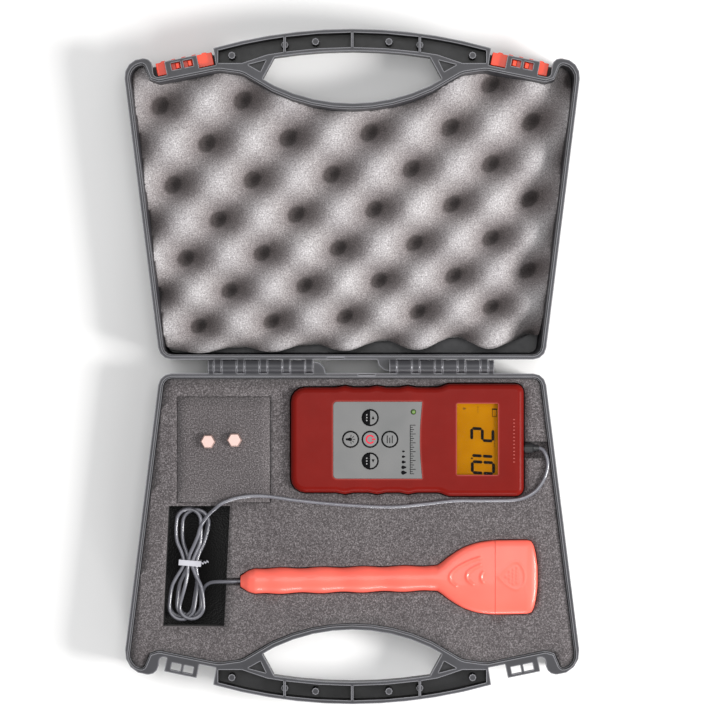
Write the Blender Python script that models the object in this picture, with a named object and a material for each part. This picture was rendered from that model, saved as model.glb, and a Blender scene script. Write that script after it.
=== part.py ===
"""Moisture meter kit: a hand-held meter, its tethered probe and two contact pins in a hinged carry case.

The case lies open: the base half along -Y, the lid half along +Y, both on the plane z = 0 with their
rims up. The hinge line is the X axis at the height of the rims. Sizes below are in millimetres, and
MM turns them into Blender's metres where a mesh is made.
"""

import math

import bmesh
import bpy
from mathutils import Matrix, Vector

MM = 0.001
GAP = 0.4  # usual clearance between two pieces
TURN_STEP = 24.0  # degrees of a rounded corner taken by one facet
SHARP_ANGLE = math.radians(32)

# Case: the two halves have the same outline, mirrored about the hinge line
RIM_Z = 36.0
HINGE_Z = RIM_Z + 0.25
BACK_Y = 4.75  # from the hinge line to each back wall
BACK_X = 131.0
FRONT_X = 156.5
FRONT_Y = 209.5
BASE_LOBE = (131.0, 6.5, 15.0)  # rounded front corners: inner side, inner and outer radius
LID_LOBE = (135.0, 5.5, 12.3)
GRIP_NOTCH_X = 53.0  # the front wall curves in behind the handle between these
GRIP_NOTCH_Y = 191.0
GRIP_NOTCH_RADIUS = 123.0
SHELL_PROFILE = ((0.0, 4.4), (2.2, 2.6), (7.0, 1.8), (32.2, 1.2), (32.2, 0.0), (RIM_Z, 0.0))
CAVITY_PROFILE = ((2.6, 1.6), (4.2, 0.8), (33.4, 0.0), (33.4, -1.0), (RIM_Z + 1.0, -1.0))
WALL = 3.2

# Handle: one half of it belongs to each case half, as a channel that is open at the rim
HANDLE_END_X = 94.5
HANDLE_OUTER = (229.6, 347.0)  # crest distance and radius of the outer arc
HANDLE_INNER = (214.7, 335.0)
HANDLE_BOTTOM_Z = 20.0
CHANNEL_FLOOR_Z = 23.0
CHANNEL_WALL = 2.4
HANDLE_RIBS_X = (-46.0, 0.0, 46.0)
HANDLE_BOSSES_X = (-82.0, -46.0, -25.0, 25.0, 46.0, 82.0)
RIB_WIDTH = 1.6

# Latch bays: each is set out along the slanted front wall, u outwards and v away from the wall
BAY_X = 115.0
BAY_Y = 200.28
BAY_SLANT = math.radians(11.6)
HASP_HALF_LENGTH = 11.2
HASP_DEPTH = 9.5
HASP_THICKNESS = 4.0
HASP_WINDOWS_U = (-4.6, 3.9)
WINDOW_SIZE = (6.6, 5.0)
LATCH_U = (-21.5, 17.6)
LATCH_V = (1.0, 9.8)
LATCH_Z = (21.2, 31.6)
LATCH_RIDGES = 5

# Hinge: narrow lid knuckles between wide base knuckles, in two groups, each on its own pin
KNUCKLE_RADIUS = 4.3
KNUCKLE_PITCH = 15.5
LID_KNUCKLE = 4.9
BASE_KNUCKLE = 9.8
END_KNUCKLE = 3.7
LEFT_KNUCKLES_X = -91.3
RIGHT_KNUCKLES_X = 27.7
KNUCKLES_PER_GROUP = 5
PIN_RADIUS = 1.5
BORE_RADIUS = 1.9

# Foams
FOAM_TOP_Z = 33.6
LID_FOAM_TOP_Z = 25.0
LID_FOAM_BACK_Y = 8.6
METER_POCKET_Z = 6.0
PROBE_POCKET_Z = 21.6
CABLE_POCKET_Z = 12.0
PLUG_HOLE_Z = 8.0
PLUG_TOP_Z = FOAM_TOP_Z + 0.4
POCKET_CLEARANCE = 0.6
FOAM_PLUG = ((-119.0, -92.5), (-56.0, -21.0))
CABLE_POCKET = ((-129.2, -177.4), (-87.2, -177.4), (-83.2, -95.0), (-125.4, -95.0))
CONTACT_PINS_XY = ((-98.0, -51.0), (-80.0, -50.0))
CONTACT_PIN_HEX = 9.0

# Meter: grip to the left, display head to the right
METER_Y = -50.0
METER_LEFT = -42.0
METER_RIGHT = 117.0
SHOULDER_X = (59.0, 65.0)
GRIP_HALF_WIDTH = 36.0
HEAD_HALF_WIDTH = 38.5
METER_BOTTOM_Z = 6.4
METER_TOP_Z = 40.4
METER_SPLIT_Z = 23.3
METER_WALL = 2.0
FRONT_PROFILE = (
    (METER_SPLIT_Z + 0.2, 0.6),
    (24.4, 0.0),
    (35.6, 0.3),
    (38.2, 1.0),
    (39.6, 2.2),
    (METER_TOP_Z, 4.6),
)
BACK_PROFILE = (
    (METER_BOTTOM_Z, 4.6),
    (7.4, 2.2),
    (9.0, 1.0),
    (12.0, 0.3),
    (22.2, 0.0),
    (METER_SPLIT_Z - 0.2, 0.6),
)
GRIP_BUMPS_X = (-5.0, 17.0, 38.0)
BUMP_HALF_LENGTH = 6.0
BUMP_HEIGHT = 1.2
LABEL_X = (-12.8, 47.4)
LABEL_HALF_WIDTH = 26.0
LABEL_FLOOR_Z = 39.6
KEYS = {
    "key_power": (12.2, -49.4),
    "key_lamp": (-1.1, -49.4),
    "key_function": (25.5, -49.4),
    "key_up": (12.2, -34.7),
    "key_down": (12.2, -64.1),
}
KEY_RADIUS = 5.5
KEY_HOLE_RADIUS = 5.95
KEY_FLANGE_RADIUS = 6.35
KEY_TOP_Z = 41.1
KEY_BOTTOM_Z = 36.6
LED_XY = (41.5, -30.8)
WINDOW_X = (71.0, 99.0)
WINDOW_Y = (-73.6, -25.2)
BOARD_Z = (31.6, 33.2)
SCREWS_XY = ((-33.0, -77.0), (-33.0, -23.0), (110.0, -80.0), (110.0, -20.0))
BATTERY_RADIUS = 5.2
BATTERY_LENGTH = 44.0
BATTERY_PITCH = 11.2
BATTERY_CENTRE_Z = 14.3
SOCKET_Y = -55.5
SOCKET_Z = 33.0

# Probe: its middle line rises slightly towards the head
PROBE_Z = 31.0
PROBE_TAIL_X = -76.0
PROBE_NECK_X = 57.7
PROBE_SEAM_X = 97.0
PROBE_END_X = 126.0
PROBE_BLUNT_X = 124.0  # past this the head faces forward more than sideways
PROBE_GRIP_RADIUS = 8.6
GRIP_WAVE = 27.8
GRIP_WAVE_CREST_X = -48.6
PROBE_WALL = 1.8

# Cable
CABLE_RADIUS = 1.25
CABLE_ON_FOAM_Z = FOAM_TOP_Z + GAP + CABLE_RADIUS
CABLE_ON_PLUG_Z = PLUG_TOP_Z + GAP + CABLE_RADIUS
CABLE_STEP = 7.0
HANK_CENTRE = (-111.0, -134.5)
HANK_LENGTH = 77.0
HANK_HALF_WIDTH = 11.0
HANK_WAIST = 4.9
HANK_LEAN = math.radians(4.5)
HANK_Z = (14.0, 25.5)
CABLE_RUN = (
    (128.5, -55.9, SOCKET_Z + 0.3),
    (130.4, -57.6, 34.4),
    (132.6, -62.6, CABLE_ON_FOAM_Z),
    (132.8, -69.5, CABLE_ON_FOAM_Z),
    (129.6, -78.4, CABLE_ON_FOAM_Z),
    (123.2, -86.0, CABLE_ON_FOAM_Z),
    (112.0, -90.6, CABLE_ON_FOAM_Z),
    (92.0, -91.3, CABLE_ON_FOAM_Z),
    (70.0, -91.4, CABLE_ON_FOAM_Z),
    (50.0, -93.6, CABLE_ON_FOAM_Z),
    (27.0, -95.6, CABLE_ON_FOAM_Z),
    (-4.0, -94.3, CABLE_ON_FOAM_Z),
    (-36.0, -91.3, CABLE_ON_FOAM_Z),
    (-60.0, -88.2, CABLE_ON_PLUG_Z),
    (-76.0, -89.0, CABLE_ON_PLUG_Z),
    (-88.0, -92.8, CABLE_ON_PLUG_Z),
    (-93.0, -96.6, CABLE_ON_FOAM_Z),
    (-98.5, -101.8, 32.0),
    (-103.5, -109.5, 27.4),
)
CABLE_TAIL = (
    (-101.6, -146.0, 22.0),
    (-96.4, -146.3, 24.6),
    (-90.6, -146.7, 29.0),
    (-84.5, -146.8, PROBE_Z),
    (-76.6, -146.5, PROBE_Z),
)


# ---------------------------------------------------------------- outlines


def fillet(corners):
    """A closed outline through (x, y, radius) corners, each rounded by its radius (0 keeps it sharp)."""
    outline = []
    for i, (x, y, radius) in enumerate(corners):
        here = Vector((x, y))
        back = (Vector(corners[i - 1][:2]) - here).normalized()
        ahead = (Vector(corners[(i + 1) % len(corners)][:2]) - here).normalized()
        turn = math.pi - back.angle(ahead)
        if not radius or turn < 1e-4:
            outline.append((x, y))
            continue
        start = here + back * radius * math.tan(turn / 2)
        side = 1.0 if back.cross(ahead) < 0 else -1.0  # left turn or right turn
        centre = start + Vector((back.y, -back.x)) * radius * side
        steps = max(1, round(math.degrees(turn) / TURN_STEP))
        arm = start - centre
        for k in range(steps + 1):
            point = centre + arm @ Matrix.Rotation(-side * turn * k / steps, 2)
            outline.append((point.x, point.y))
    return outline


def offset(outline, distance):
    """An anticlockwise outline moved inwards by a distance, point by point."""
    moved = []
    for i, here in enumerate(outline):
        here = Vector(here)
        came = (here - Vector(outline[i - 1])).normalized()
        goes = (Vector(outline[(i + 1) % len(outline)]) - here).normalized()
        first = Vector((-came.y, came.x))
        second = Vector((-goes.y, goes.x))
        shift = (first + second) * distance / (1.0 + first.dot(second))
        moved.append((here.x + shift.x, here.y + shift.y))
    return moved


def both_sides(right):
    """Corners of the right half, front to back, with the same corners mirrored to the left before them."""
    return [(-x, y, r) for x, y, r in reversed(right) if x > 0] + right


def spaced(start, end, count):
    """count evenly spaced values from start to end, both included."""
    return [start + (end - start) * k / (count - 1) for k in range(count)]


def arc_y(x, arc):
    """Height of an arc whose lowest point lies at x = 0; arc is (distance of that point, radius)."""
    distance, radius = arc
    return -distance + radius - math.sqrt(radius**2 - x**2)


def circle(x, y, radius, count):
    """An anticlockwise circle of count corners."""
    angles = [2 * math.pi * k / count for k in range(count)]
    return [(x + radius * math.cos(a), y + radius * math.sin(a)) for a in angles]


def rectangle(x0, y0, x1, y1):
    return [(x0, y0), (x1, y0), (x1, y1), (x0, y1)]


def rows(outline, profile):
    """The outline at each (height, inset) of a profile, as rings of 3-D points."""
    return [[(x, y, z) for x, y in offset(outline, inset)] for z, inset in profile]


def prism(outline, low, high):
    return rows(outline, ((low, 0.0), (high, 0.0)))


def box(low, high):
    return prism(rectangle(low[0], low[1], high[0], high[1]), low[2], high[2])


def turned_z(x, y, profile, count=16):
    """Rings of a solid turned about a vertical axis, from (radius, height) pairs."""
    return [[(px, py, z) for px, py in circle(x, y, radius, count)] for radius, z in profile]


def turned_x(y, z, profile, count=16):
    """Rings of a solid turned about an axis along X, from (radius, x) pairs."""
    return [[(x, py, pz) for py, pz in circle(y, z, radius, count)] for radius, x in profile]


# ---------------------------------------------------------------- objects


def material(name, colour, roughness, metallic=0.0):
    """A Principled material; colour is linear RGB."""
    made = bpy.data.materials.new(name)
    made.use_nodes = True
    shader = made.node_tree.nodes["Principled BSDF"]
    shader.inputs["Base Color"].default_value = (*colour, 1.0)
    shader.inputs["Roughness"].default_value = roughness
    shader.inputs["Metallic"].default_value = metallic
    made.diffuse_color = (*colour, 1.0)
    return made


def solid(name, bodies, look=None, lid=False):
    """An object of closed bodies, each a list of rings of equally many points; lid mirrors it in Y."""
    mesh = bpy.data.meshes.new(name)
    grid = bmesh.new()
    side = -1.0 if lid else 1.0
    volume = 0.0
    for rings in bodies:
        layers = [[grid.verts.new((x * MM, side * y * MM, z * MM)) for x, y, z in ring] for ring in rings]
        faces = [grid.faces.new(layers[0][::-1]), grid.faces.new(layers[-1])]
        for low, high in zip(layers, layers[1:]):
            for i in range(len(low)):
                j = (i + 1) % len(low)
                faces.append(grid.faces.new((low[i], low[j], high[j], high[i])))
        grid.normal_update()
        if grid.calc_volume(signed=True) < volume:
            bmesh.ops.reverse_faces(grid, faces=faces)
            grid.normal_update()
        volume = grid.calc_volume(signed=True)
    grid.to_mesh(mesh)
    grid.free()
    mesh.shade_smooth()
    mesh.set_sharp_from_angle(angle=SHARP_ANGLE)
    made = bpy.data.objects.new(name, mesh)
    bpy.context.collection.objects.link(made)
    if look:
        mesh.materials.append(look)
    return made


def combine(target, name, operation, bodies, lid=False):
    """Union, difference or intersection of a piece with hidden tool bodies."""
    tool = solid(name, bodies, lid=lid)
    tool.hide_render = True
    tool.display_type = "WIRE"
    modifier = target.modifiers.new(name, "BOOLEAN")
    modifier.operation = operation
    modifier.solver = "EXACT"
    modifier.object = tool


def add(target, name, bodies, lid=False):
    combine(target, name, "UNION", bodies, lid)


def cut(target, name, bodies, lid=False):
    combine(target, name, "DIFFERENCE", bodies, lid)


def keep(target, name, bodies):
    combine(target, name, "INTERSECT", bodies)


def empty(name, position):
    made = bpy.data.objects.new(name, None)
    made.location = Vector(position) * MM
    made.empty_display_size = 0.02
    bpy.context.collection.objects.link(made)
    return made


def set_origin(piece, position):
    """Move a piece's origin without moving the piece."""
    place = Vector(position) * MM
    piece.data.transform(Matrix.Translation(-place))
    piece.location = place


def hang(holder, pieces):
    """Parent pieces to an empty and leave them where they are."""
    for piece in pieces:
        piece.parent = holder
        piece.matrix_parent_inverse = Matrix.Translation(-holder.location)


# ---------------------------------------------------------------- case shells


def case_outline(lobe):
    """Outside of one case half at its rim, seen from above, drawn for the base half."""
    lobe_x, inner_radius, outer_radius = lobe
    bay_y = -BAY_Y + (lobe_x - BAY_X) * math.tan(BAY_SLANT)
    curve = []
    for x in spaced(0.0, GRIP_NOTCH_X, 5)[:-1]:
        sag = math.sqrt(GRIP_NOTCH_RADIUS**2 - x**2) - math.sqrt(GRIP_NOTCH_RADIUS**2 - GRIP_NOTCH_X**2)
        curve.append((x, -GRIP_NOTCH_Y + sag, 0.0))
    return fillet(
        both_sides(
            curve
            + [
                (GRIP_NOTCH_X, -GRIP_NOTCH_Y, 5.0),
                (74.0, -203.0, 8.0),
                (91.0, -205.2, 8.0),
                (lobe_x, bay_y, 3.0),
                (lobe_x + 1.5, -FRONT_Y, inner_radius),
                (FRONT_X, -FRONT_Y, outer_radius),
                (BACK_X, -BACK_Y, 9.0),
            ]
        )
    )


def cavity_outline(back_y):
    """Inside of one case half at its rim, drawn for the base half and closed at a given back line."""
    radius = GRIP_NOTCH_RADIUS + WALL
    half = GRIP_NOTCH_X + 1.5
    curve = []
    for x in spaced(0.0, half, 5)[:-1]:
        sag = math.sqrt(radius**2 - x**2) - math.sqrt(radius**2 - half**2)
        curve.append((x, -187.6 + sag, 0.0))
    back_x = BACK_X - 3.3 + (back_y - BACK_Y) * (FRONT_X - BACK_X) / (FRONT_Y - BACK_Y)
    return fillet(
        both_sides(
            curve
            + [
                (half, -187.6, 5.0),
                (75.0, -199.6, 8.0),
                (91.0, -201.8, 8.0),
                (131.6, -193.6, 2.0),
                (137.6, -195.4, 1.5),
                (141.9, -205.7, 2.6),
                (147.8, -204.4, 7.0),
                (151.8, -198.4, 9.0),
                (back_x, -back_y, 6.0),
            ]
        )
    )


def handle_body():
    """The half handle: a curved bar with a gusset at each end that reaches the front wall."""
    outer = [(x, arc_y(x, HANDLE_OUTER)) for x in spaced(-HANDLE_END_X, HANDLE_END_X, 11)]
    inner = [(x, arc_y(x, HANDLE_INNER)) for x in spaced(GRIP_NOTCH_X, -GRIP_NOTCH_X, 7)]
    right = [(91.5, -198.0), (74.0, -196.0), (63.0, -188.0), (60.6, -196.6)]
    left = [(-x, y) for x, y in reversed(right)]
    profile = ((HANDLE_BOTTOM_Z, 2.6), (22.2, 0.6), (24.2, 0.0), (RIM_Z, 0.0))
    return rows(outer + right + inner + left, profile)


def channel_bodies():
    """The hollows of the half handle: four lengths of channel between ribs, and two gusset recesses."""
    limits = (-HANDLE_END_X + 3.3, *HANDLE_RIBS_X, HANDLE_END_X - 3.3)
    half_rib = RIB_WIDTH / 2

    def near_side(x):
        """The channel's edge towards the case: the inner arc, then the front wall past the gusset."""
        arc = arc_y(min(abs(x), 58.0), HANDLE_INNER) - CHANNEL_WALL
        if abs(x) <= 58.0:
            return arc
        return arc + (min(abs(x), 75.0) - 58.0) / 17.0 * (-206.3 - arc)

    bodies = []
    for start, end in zip(limits, limits[1:]):
        start += half_rib if start in HANDLE_RIBS_X else 0.0
        end -= half_rib if end in HANDLE_RIBS_X else 0.0
        bends = [x for x in (-75.0, -58.0, 58.0, 75.0) if start < x < end]
        across = sorted({*spaced(start, end, 3), *bends})
        far = [(x, arc_y(x, HANDLE_OUTER) + CHANNEL_WALL) for x in across]
        near = [(x, near_side(x)) for x in reversed(across)]
        bodies.append(prism(far + near, CHANNEL_FLOOR_Z, RIM_Z + 1.0))
    for side in (-1.0, 1.0):
        recess = [(side * x, y) for x, y in ((62.4, -200.4), (71.0, -205.2), (58.6, -208.4))]
        bodies.append(prism(recess, RIM_Z - 3.0, RIM_Z + 1.0))
    return bodies


def boss_bodies():
    """Round assembly bosses that stand in the handle channel."""
    bodies = []
    for x in HANDLE_BOSSES_X:
        near = arc_y(x, HANDLE_INNER) if abs(x) < 60.0 else -204.0
        y = (arc_y(x, HANDLE_OUTER) + near) / 2
        bodies.append(turned_z(x, y, ((2.7, CHANNEL_FLOOR_Z - 1.0), (2.4, RIM_Z - 2.5)), 8))
    return bodies


def bay_point(u, v, side):
    """A point of a latch bay: u along the slanted wall towards the corner, v out from the wall."""
    x = BAY_X + u * math.cos(BAY_SLANT) + v * math.sin(BAY_SLANT)
    y = -BAY_Y + u * math.sin(BAY_SLANT) - v * math.cos(BAY_SLANT)
    return side * x, y


def bay_prism(points, low, high, side):
    return prism([bay_point(u, v, side) for u, v in points], low, high)


def hasp_bodies():
    """The slotted plates that stand out from the front wall, one in each latch bay."""
    plate = rectangle(-HASP_HALF_LENGTH, -2.0, HASP_HALF_LENGTH, HASP_DEPTH)
    return [bay_prism(plate, RIM_Z - HASP_THICKNESS, RIM_Z, side) for side in (-1.0, 1.0)]


def hasp_windows():
    bodies = []
    width, depth = WINDOW_SIZE
    for side in (-1.0, 1.0):
        for u in HASP_WINDOWS_U:
            hole = rectangle(u - width / 2, 2.6, u + width / 2, 2.6 + depth)
            bodies.append(bay_prism(hole, RIM_Z - HASP_THICKNESS - 1.0, RIM_Z + 1.0, side))
    return bodies


def shelf_bodies():
    """The shelves under the lid's latch slides, from the handle's end to the corner lobe."""
    outline = rectangle(-24.4, -2.0, 21.6, 9.0)
    return [bay_prism(outline, 17.5, 20.8, side) for side in (-1.0, 1.0)]


def knuckle(centre, width):
    """One hinge knuckle with its arm to the base's back wall; the lid's ones are its mirror image."""
    outline = [(-BACK_Y - 1.2, 27.0)]
    for degrees in range(-75, 184, 37):
        angle = math.radians(degrees)
        outline.append((KNUCKLE_RADIUS * math.cos(angle), HINGE_Z + KNUCKLE_RADIUS * math.sin(angle)))
    outline += [(-KNUCKLE_RADIUS, HINGE_Z), (-BACK_Y - 1.2, RIM_Z - 0.1)]
    return [[(x, y, z) for y, z in outline] for x in (centre - width / 2, centre + width / 2)]


def lid_knuckle_centres():
    starts = (LEFT_KNUCKLES_X, RIGHT_KNUCKLES_X)
    return [start + KNUCKLE_PITCH * k for start in starts for k in range(KNUCKLES_PER_GROUP)]


def base_knuckles():
    """Wide knuckles between the lid's, and a narrow one at each outer end."""
    bodies = []
    for start in (LEFT_KNUCKLES_X, RIGHT_KNUCKLES_X):
        for k in range(KNUCKLES_PER_GROUP - 1):
            bodies.append(knuckle(start + KNUCKLE_PITCH * (k + 0.5), BASE_KNUCKLE))
    reach = (LID_KNUCKLE + END_KNUCKLE) / 2 + GAP
    last = RIGHT_KNUCKLES_X + KNUCKLE_PITCH * (KNUCKLES_PER_GROUP - 1)
    bodies.append(knuckle(LEFT_KNUCKLES_X - reach, END_KNUCKLE))
    bodies.append(knuckle(last + reach, END_KNUCKLE))
    return bodies


def gusset(start, end):
    """A quarter-round buttress at the inner end of a hinge group, flush with the rim."""
    side = 1.0 if end > start else -1.0
    length = abs(end - start)
    bend = [math.radians(a) for a in (90, 60, 30, 0)]
    curve = [(start + side * length * math.cos(a), -BACK_Y + 8.2 * math.sin(a)) for a in bend]
    return prism([(start, -BACK_Y - 1.2), *curve, (end, -BACK_Y - 1.2)], 30.0, RIM_Z - 0.1)


def pin_spans():
    """The two hinge pins' ends along X."""
    length = KNUCKLE_PITCH * (KNUCKLES_PER_GROUP - 1)
    left = (LEFT_KNUCKLES_X - 5.0, LEFT_KNUCKLES_X + length + LID_KNUCKLE / 2 - 0.3)
    right = (RIGHT_KNUCKLES_X - LID_KNUCKLE / 2 + 1.2, RIGHT_KNUCKLES_X + length + 5.0)
    return left, right


def bore_bodies():
    spans = [(start - 0.3, end + 0.3) for start, end in pin_spans()]
    return [turned_x(0.0, HINGE_Z, ((BORE_RADIUS, a), (BORE_RADIUS, b)), 10) for a, b in spans]


def case_shell(name, look, lid):
    """One moulded case half with its half handle, hasp plates and hinge knuckles."""
    outline = case_outline(LID_LOBE if lid else BASE_LOBE)
    shell = solid(name, [rows(outline, SHELL_PROFILE)], look, lid)
    add(shell, name + "_handle", [handle_body()], lid)
    add(shell, name + "_hasps", hasp_bodies(), lid)
    if lid:
        knuckles = [knuckle(x, LID_KNUCKLE) for x in lid_knuckle_centres()]
        add(shell, name + "_knuckles", knuckles, lid)
        add(shell, name + "_gusset", [gusset(RIGHT_KNUCKLES_X - 1.0, 17.0)], lid)
        add(shell, name + "_shelves", shelf_bodies(), lid)
    else:
        inner_end = LEFT_KNUCKLES_X + KNUCKLE_PITCH * (KNUCKLES_PER_GROUP - 1) + LID_KNUCKLE / 2 + GAP
        add(shell, name + "_knuckles", base_knuckles(), lid)
        add(shell, name + "_gusset", [gusset(inner_end, inner_end + 8.4)], lid)
    slot = (-17.0, -5.4) if lid else (4.0, 15.6)
    slot_body = box((slot[0], -BACK_Y - 1.3, RIM_Z - 1.5), (slot[1], -BACK_Y - 0.4, RIM_Z + 1.0))
    hollows = [rows(cavity_outline(BACK_Y + WALL), CAVITY_PROFILE)]
    cut(shell, name + "_hollows", hollows + channel_bodies() + hasp_windows(), lid)
    cut(shell, name + "_bores", [*bore_bodies(), slot_body], lid)
    add(shell, name + "_bosses", boss_bodies(), lid)
    return shell


def hinge_pins(look):
    return [
        solid(name, [turned_x(0.0, HINGE_Z, ((PIN_RADIUS, start), (PIN_RADIUS, end)), 10)], look)
        for name, (start, end) in zip(("hinge_pin_left", "hinge_pin_right"), pin_spans())
    ]


def latch(name, side, look):
    """A slide that lies under the lid's hasp plate, with two pads that show in the plate's windows."""
    inner, outer = LATCH_U
    near, far = LATCH_V
    ridge_step = (outer - inner) / (2 * LATCH_RIDGES + 1)
    outline = [(inner, near), (outer, near), (outer, far)]
    for k in range(LATCH_RIDGES):
        start = outer - ridge_step * (2 * k + 1)
        end = start - ridge_step
        outline += [(start, far), (start - 0.4, far + 0.8), (end + 0.4, far + 0.8), (end, far)]
    outline.append((inner, far))
    slide = solid(name, [bay_prism(outline, *LATCH_Z, side)], look, lid=True)
    pads = []
    for u in HASP_WINDOWS_U:
        pads.append(bay_prism(rectangle(u - 2.4, 3.2, u + 0.2, 7.0), LATCH_Z[1] - 1.0, 34.6, side))
    add(slide, name + "_pads", pads, lid=True)
    x, y = bay_point((inner + outer) / 2, (near + far) / 2, side)
    set_origin(slide, (x, -y, sum(LATCH_Z) / 2))
    return slide


# ---------------------------------------------------------------- foams


def foam_rows(outline, top):
    """A foam block that follows the cavity's draft and rounded floor."""
    return rows(outline, ((3.0, 2.1), (4.6, 1.3), (top, 0.5)))


def pocket(outline, floor):
    return prism(outline, floor, RIM_Z + 4.0)


def base_foam(look):
    foam = solid("base_foam", [foam_rows(cavity_outline(BACK_Y + WALL), FOAM_TOP_Z)], look)
    (x0, y0), (x1, y1) = FOAM_PLUG
    clear = POCKET_CLEARANCE
    probe = [(x, y) for x, y, _ in probe_plan(clear)]
    bodies = [
        pocket(offset(meter_outline(), -clear), METER_POCKET_Z),
        pocket(rectangle(x0 - GAP, y0 - GAP, x1 + GAP, y1 + GAP), PLUG_HOLE_Z),
        pocket(CABLE_POCKET, CABLE_POCKET_Z),
    ]
    cut(foam, "base_foam_pockets", bodies)
    channels = [
        pocket(probe, PROBE_POCKET_Z),
        pocket(rectangle(METER_RIGHT - 1.0, SOCKET_Y - 7.0, 136.0, SOCKET_Y + 4.4), 28.5),
    ]
    cut(foam, "base_foam_channels", channels)
    cut(foam, "base_foam_slit", [pocket(rectangle(-90.0, -149.4, -74.0, -143.8), 28.6)])
    return foam


def foam_plug(look):
    (x0, y0), (x1, y1) = FOAM_PLUG
    plug = solid("foam_plug", [prism(rectangle(x0, y0, x1, y1), PLUG_HOLE_Z + GAP, PLUG_TOP_Z)], look)
    holes = [turned_z(x, y, ((2.15, 16.0), (2.15, RIM_Z)), 10) for x, y in CONTACT_PINS_XY]
    cut(plug, "foam_plug_holes", holes)
    return plug


def contact_pin(name, x, y, look):
    """A spare contact pin: a hexagon head with a threaded shank, pushed into the foam."""
    seat = PLUG_TOP_Z + 0.3
    radius = CONTACT_PIN_HEX / math.sqrt(3)
    shank = turned_z(x, y, ((0.8, 17.0), (1.75, 19.0), (1.75, seat + 0.5)), 10)
    head = turned_z(x, y, ((radius, seat), (radius, seat + 3.2), (radius - 0.9, seat + 4.2)), 6)
    pin = solid(name, [head], look)
    add(pin, name + "_shank", [shank])
    return pin


def lid_foam(look):
    return solid("lid_foam", [foam_rows(cavity_outline(LID_FOAM_BACK_Y), LID_FOAM_TOP_Z)], look, lid=True)


# ---------------------------------------------------------------- meter


def bump_points(half_width, direction):
    """The grip bumps along one long side, met in the given direction along X."""
    points = []
    for centre in GRIP_BUMPS_X:
        for k in range(5):
            along = -BUMP_HALF_LENGTH + 2 * BUMP_HALF_LENGTH * k / 4
            swell = BUMP_HEIGHT * math.cos(math.pi * along / (2 * BUMP_HALF_LENGTH)) ** 2
            points.append((centre + along, half_width + swell))
    points.sort(reverse=direction < 0)
    return [(x, METER_Y - direction * y, 0.0) for x, y in points]


def meter_outline():
    """Outside of the meter seen from above: grip, two shoulders and the wider display head."""
    grip, head = GRIP_HALF_WIDTH, HEAD_HALF_WIDTH
    near, far = SHOULDER_X
    return fillet(
        [
            (METER_LEFT, METER_Y - grip, 10.0),
            *bump_points(grip, 1.0),
            (near, METER_Y - grip, 6.0),
            (far, METER_Y - head, 6.0),
            (METER_RIGHT, METER_Y - head, 6.0),
            (METER_RIGHT, METER_Y + head, 6.0),
            (far, METER_Y + head, 6.0),
            (near, METER_Y + grip, 6.0),
            *bump_points(grip, -1.0),
            (METER_LEFT, METER_Y + grip, 10.0),
        ]
    )


def plain_meter_outline():
    """The meter's outline without bumps or shoulders, for its inside."""
    grip = GRIP_HALF_WIDTH
    return fillet(
        [
            (METER_LEFT, METER_Y - grip, 10.0),
            (METER_RIGHT, METER_Y - grip - 1.5, 6.0),
            (METER_RIGHT, METER_Y + grip + 1.5, 6.0),
            (METER_LEFT, METER_Y + grip, 10.0),
        ]
    )


def label_outline(inset):
    """The keypad overlay: rounded left corners and a right edge that curves inwards."""
    x0, x1 = LABEL_X
    half = LABEL_HALF_WIDTH - inset
    x0 += inset
    x1 -= inset
    across = spaced(-half, half, 9)
    curve = [(x1 - 1.6 * math.cos(math.pi * y / (2 * half)), METER_Y + y, 0.0) for y in across]
    return fillet([(x0, METER_Y - half, 2.5), *curve, (x0, METER_Y + half, 2.5)])


def key_holes(radius, low, high):
    return [turned_z(x, y, ((radius, low), (radius, high)), 16) for x, y in KEYS.values()]


def meter_front_shell(look):
    shell = solid("meter_front_shell", [rows(meter_outline(), FRONT_PROFILE)], look)
    inside = rows(plain_meter_outline(), ((METER_SPLIT_Z - 1.0, 2.2), (34.0, 2.6), (38.4, 4.6)))
    cut(shell, "meter_front_inside", [inside])
    posts = [turned_z(x, y, ((3.0, METER_SPLIT_Z + 0.4), (3.4, 39.0)), 10) for x, y in SCREWS_XY]
    add(shell, "meter_front_posts", posts)
    window = prism(rectangle(WINDOW_X[0], WINDOW_Y[0], WINDOW_X[1], WINDOW_Y[1]), 37.0, 42.0)
    recess = prism(label_outline(-0.3), LABEL_FLOOR_Z, 42.0)
    cut(shell, "meter_front_openings", [window, recess])
    led = turned_z(*LED_XY, ((1.9, 37.0), (1.9, 42.0)), 10)
    pilots = [turned_z(x, y, ((1.5, METER_SPLIT_Z - 1.0), (1.5, 34.0)), 8) for x, y in SCREWS_XY]
    jack = turned_x(SOCKET_Y, SOCKET_Z, ((2.6, 112.0), (2.6, 119.0)), 12)
    cut(shell, "meter_front_holes", [*key_holes(KEY_HOLE_RADIUS, 37.0, 42.0), led, jack, *pilots])
    return shell


def battery_cover_outline(inset):
    return rectangle(-36.0 + inset, METER_Y - 23.2 + inset, 20.0 - inset, METER_Y + 23.2 - inset)


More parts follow.
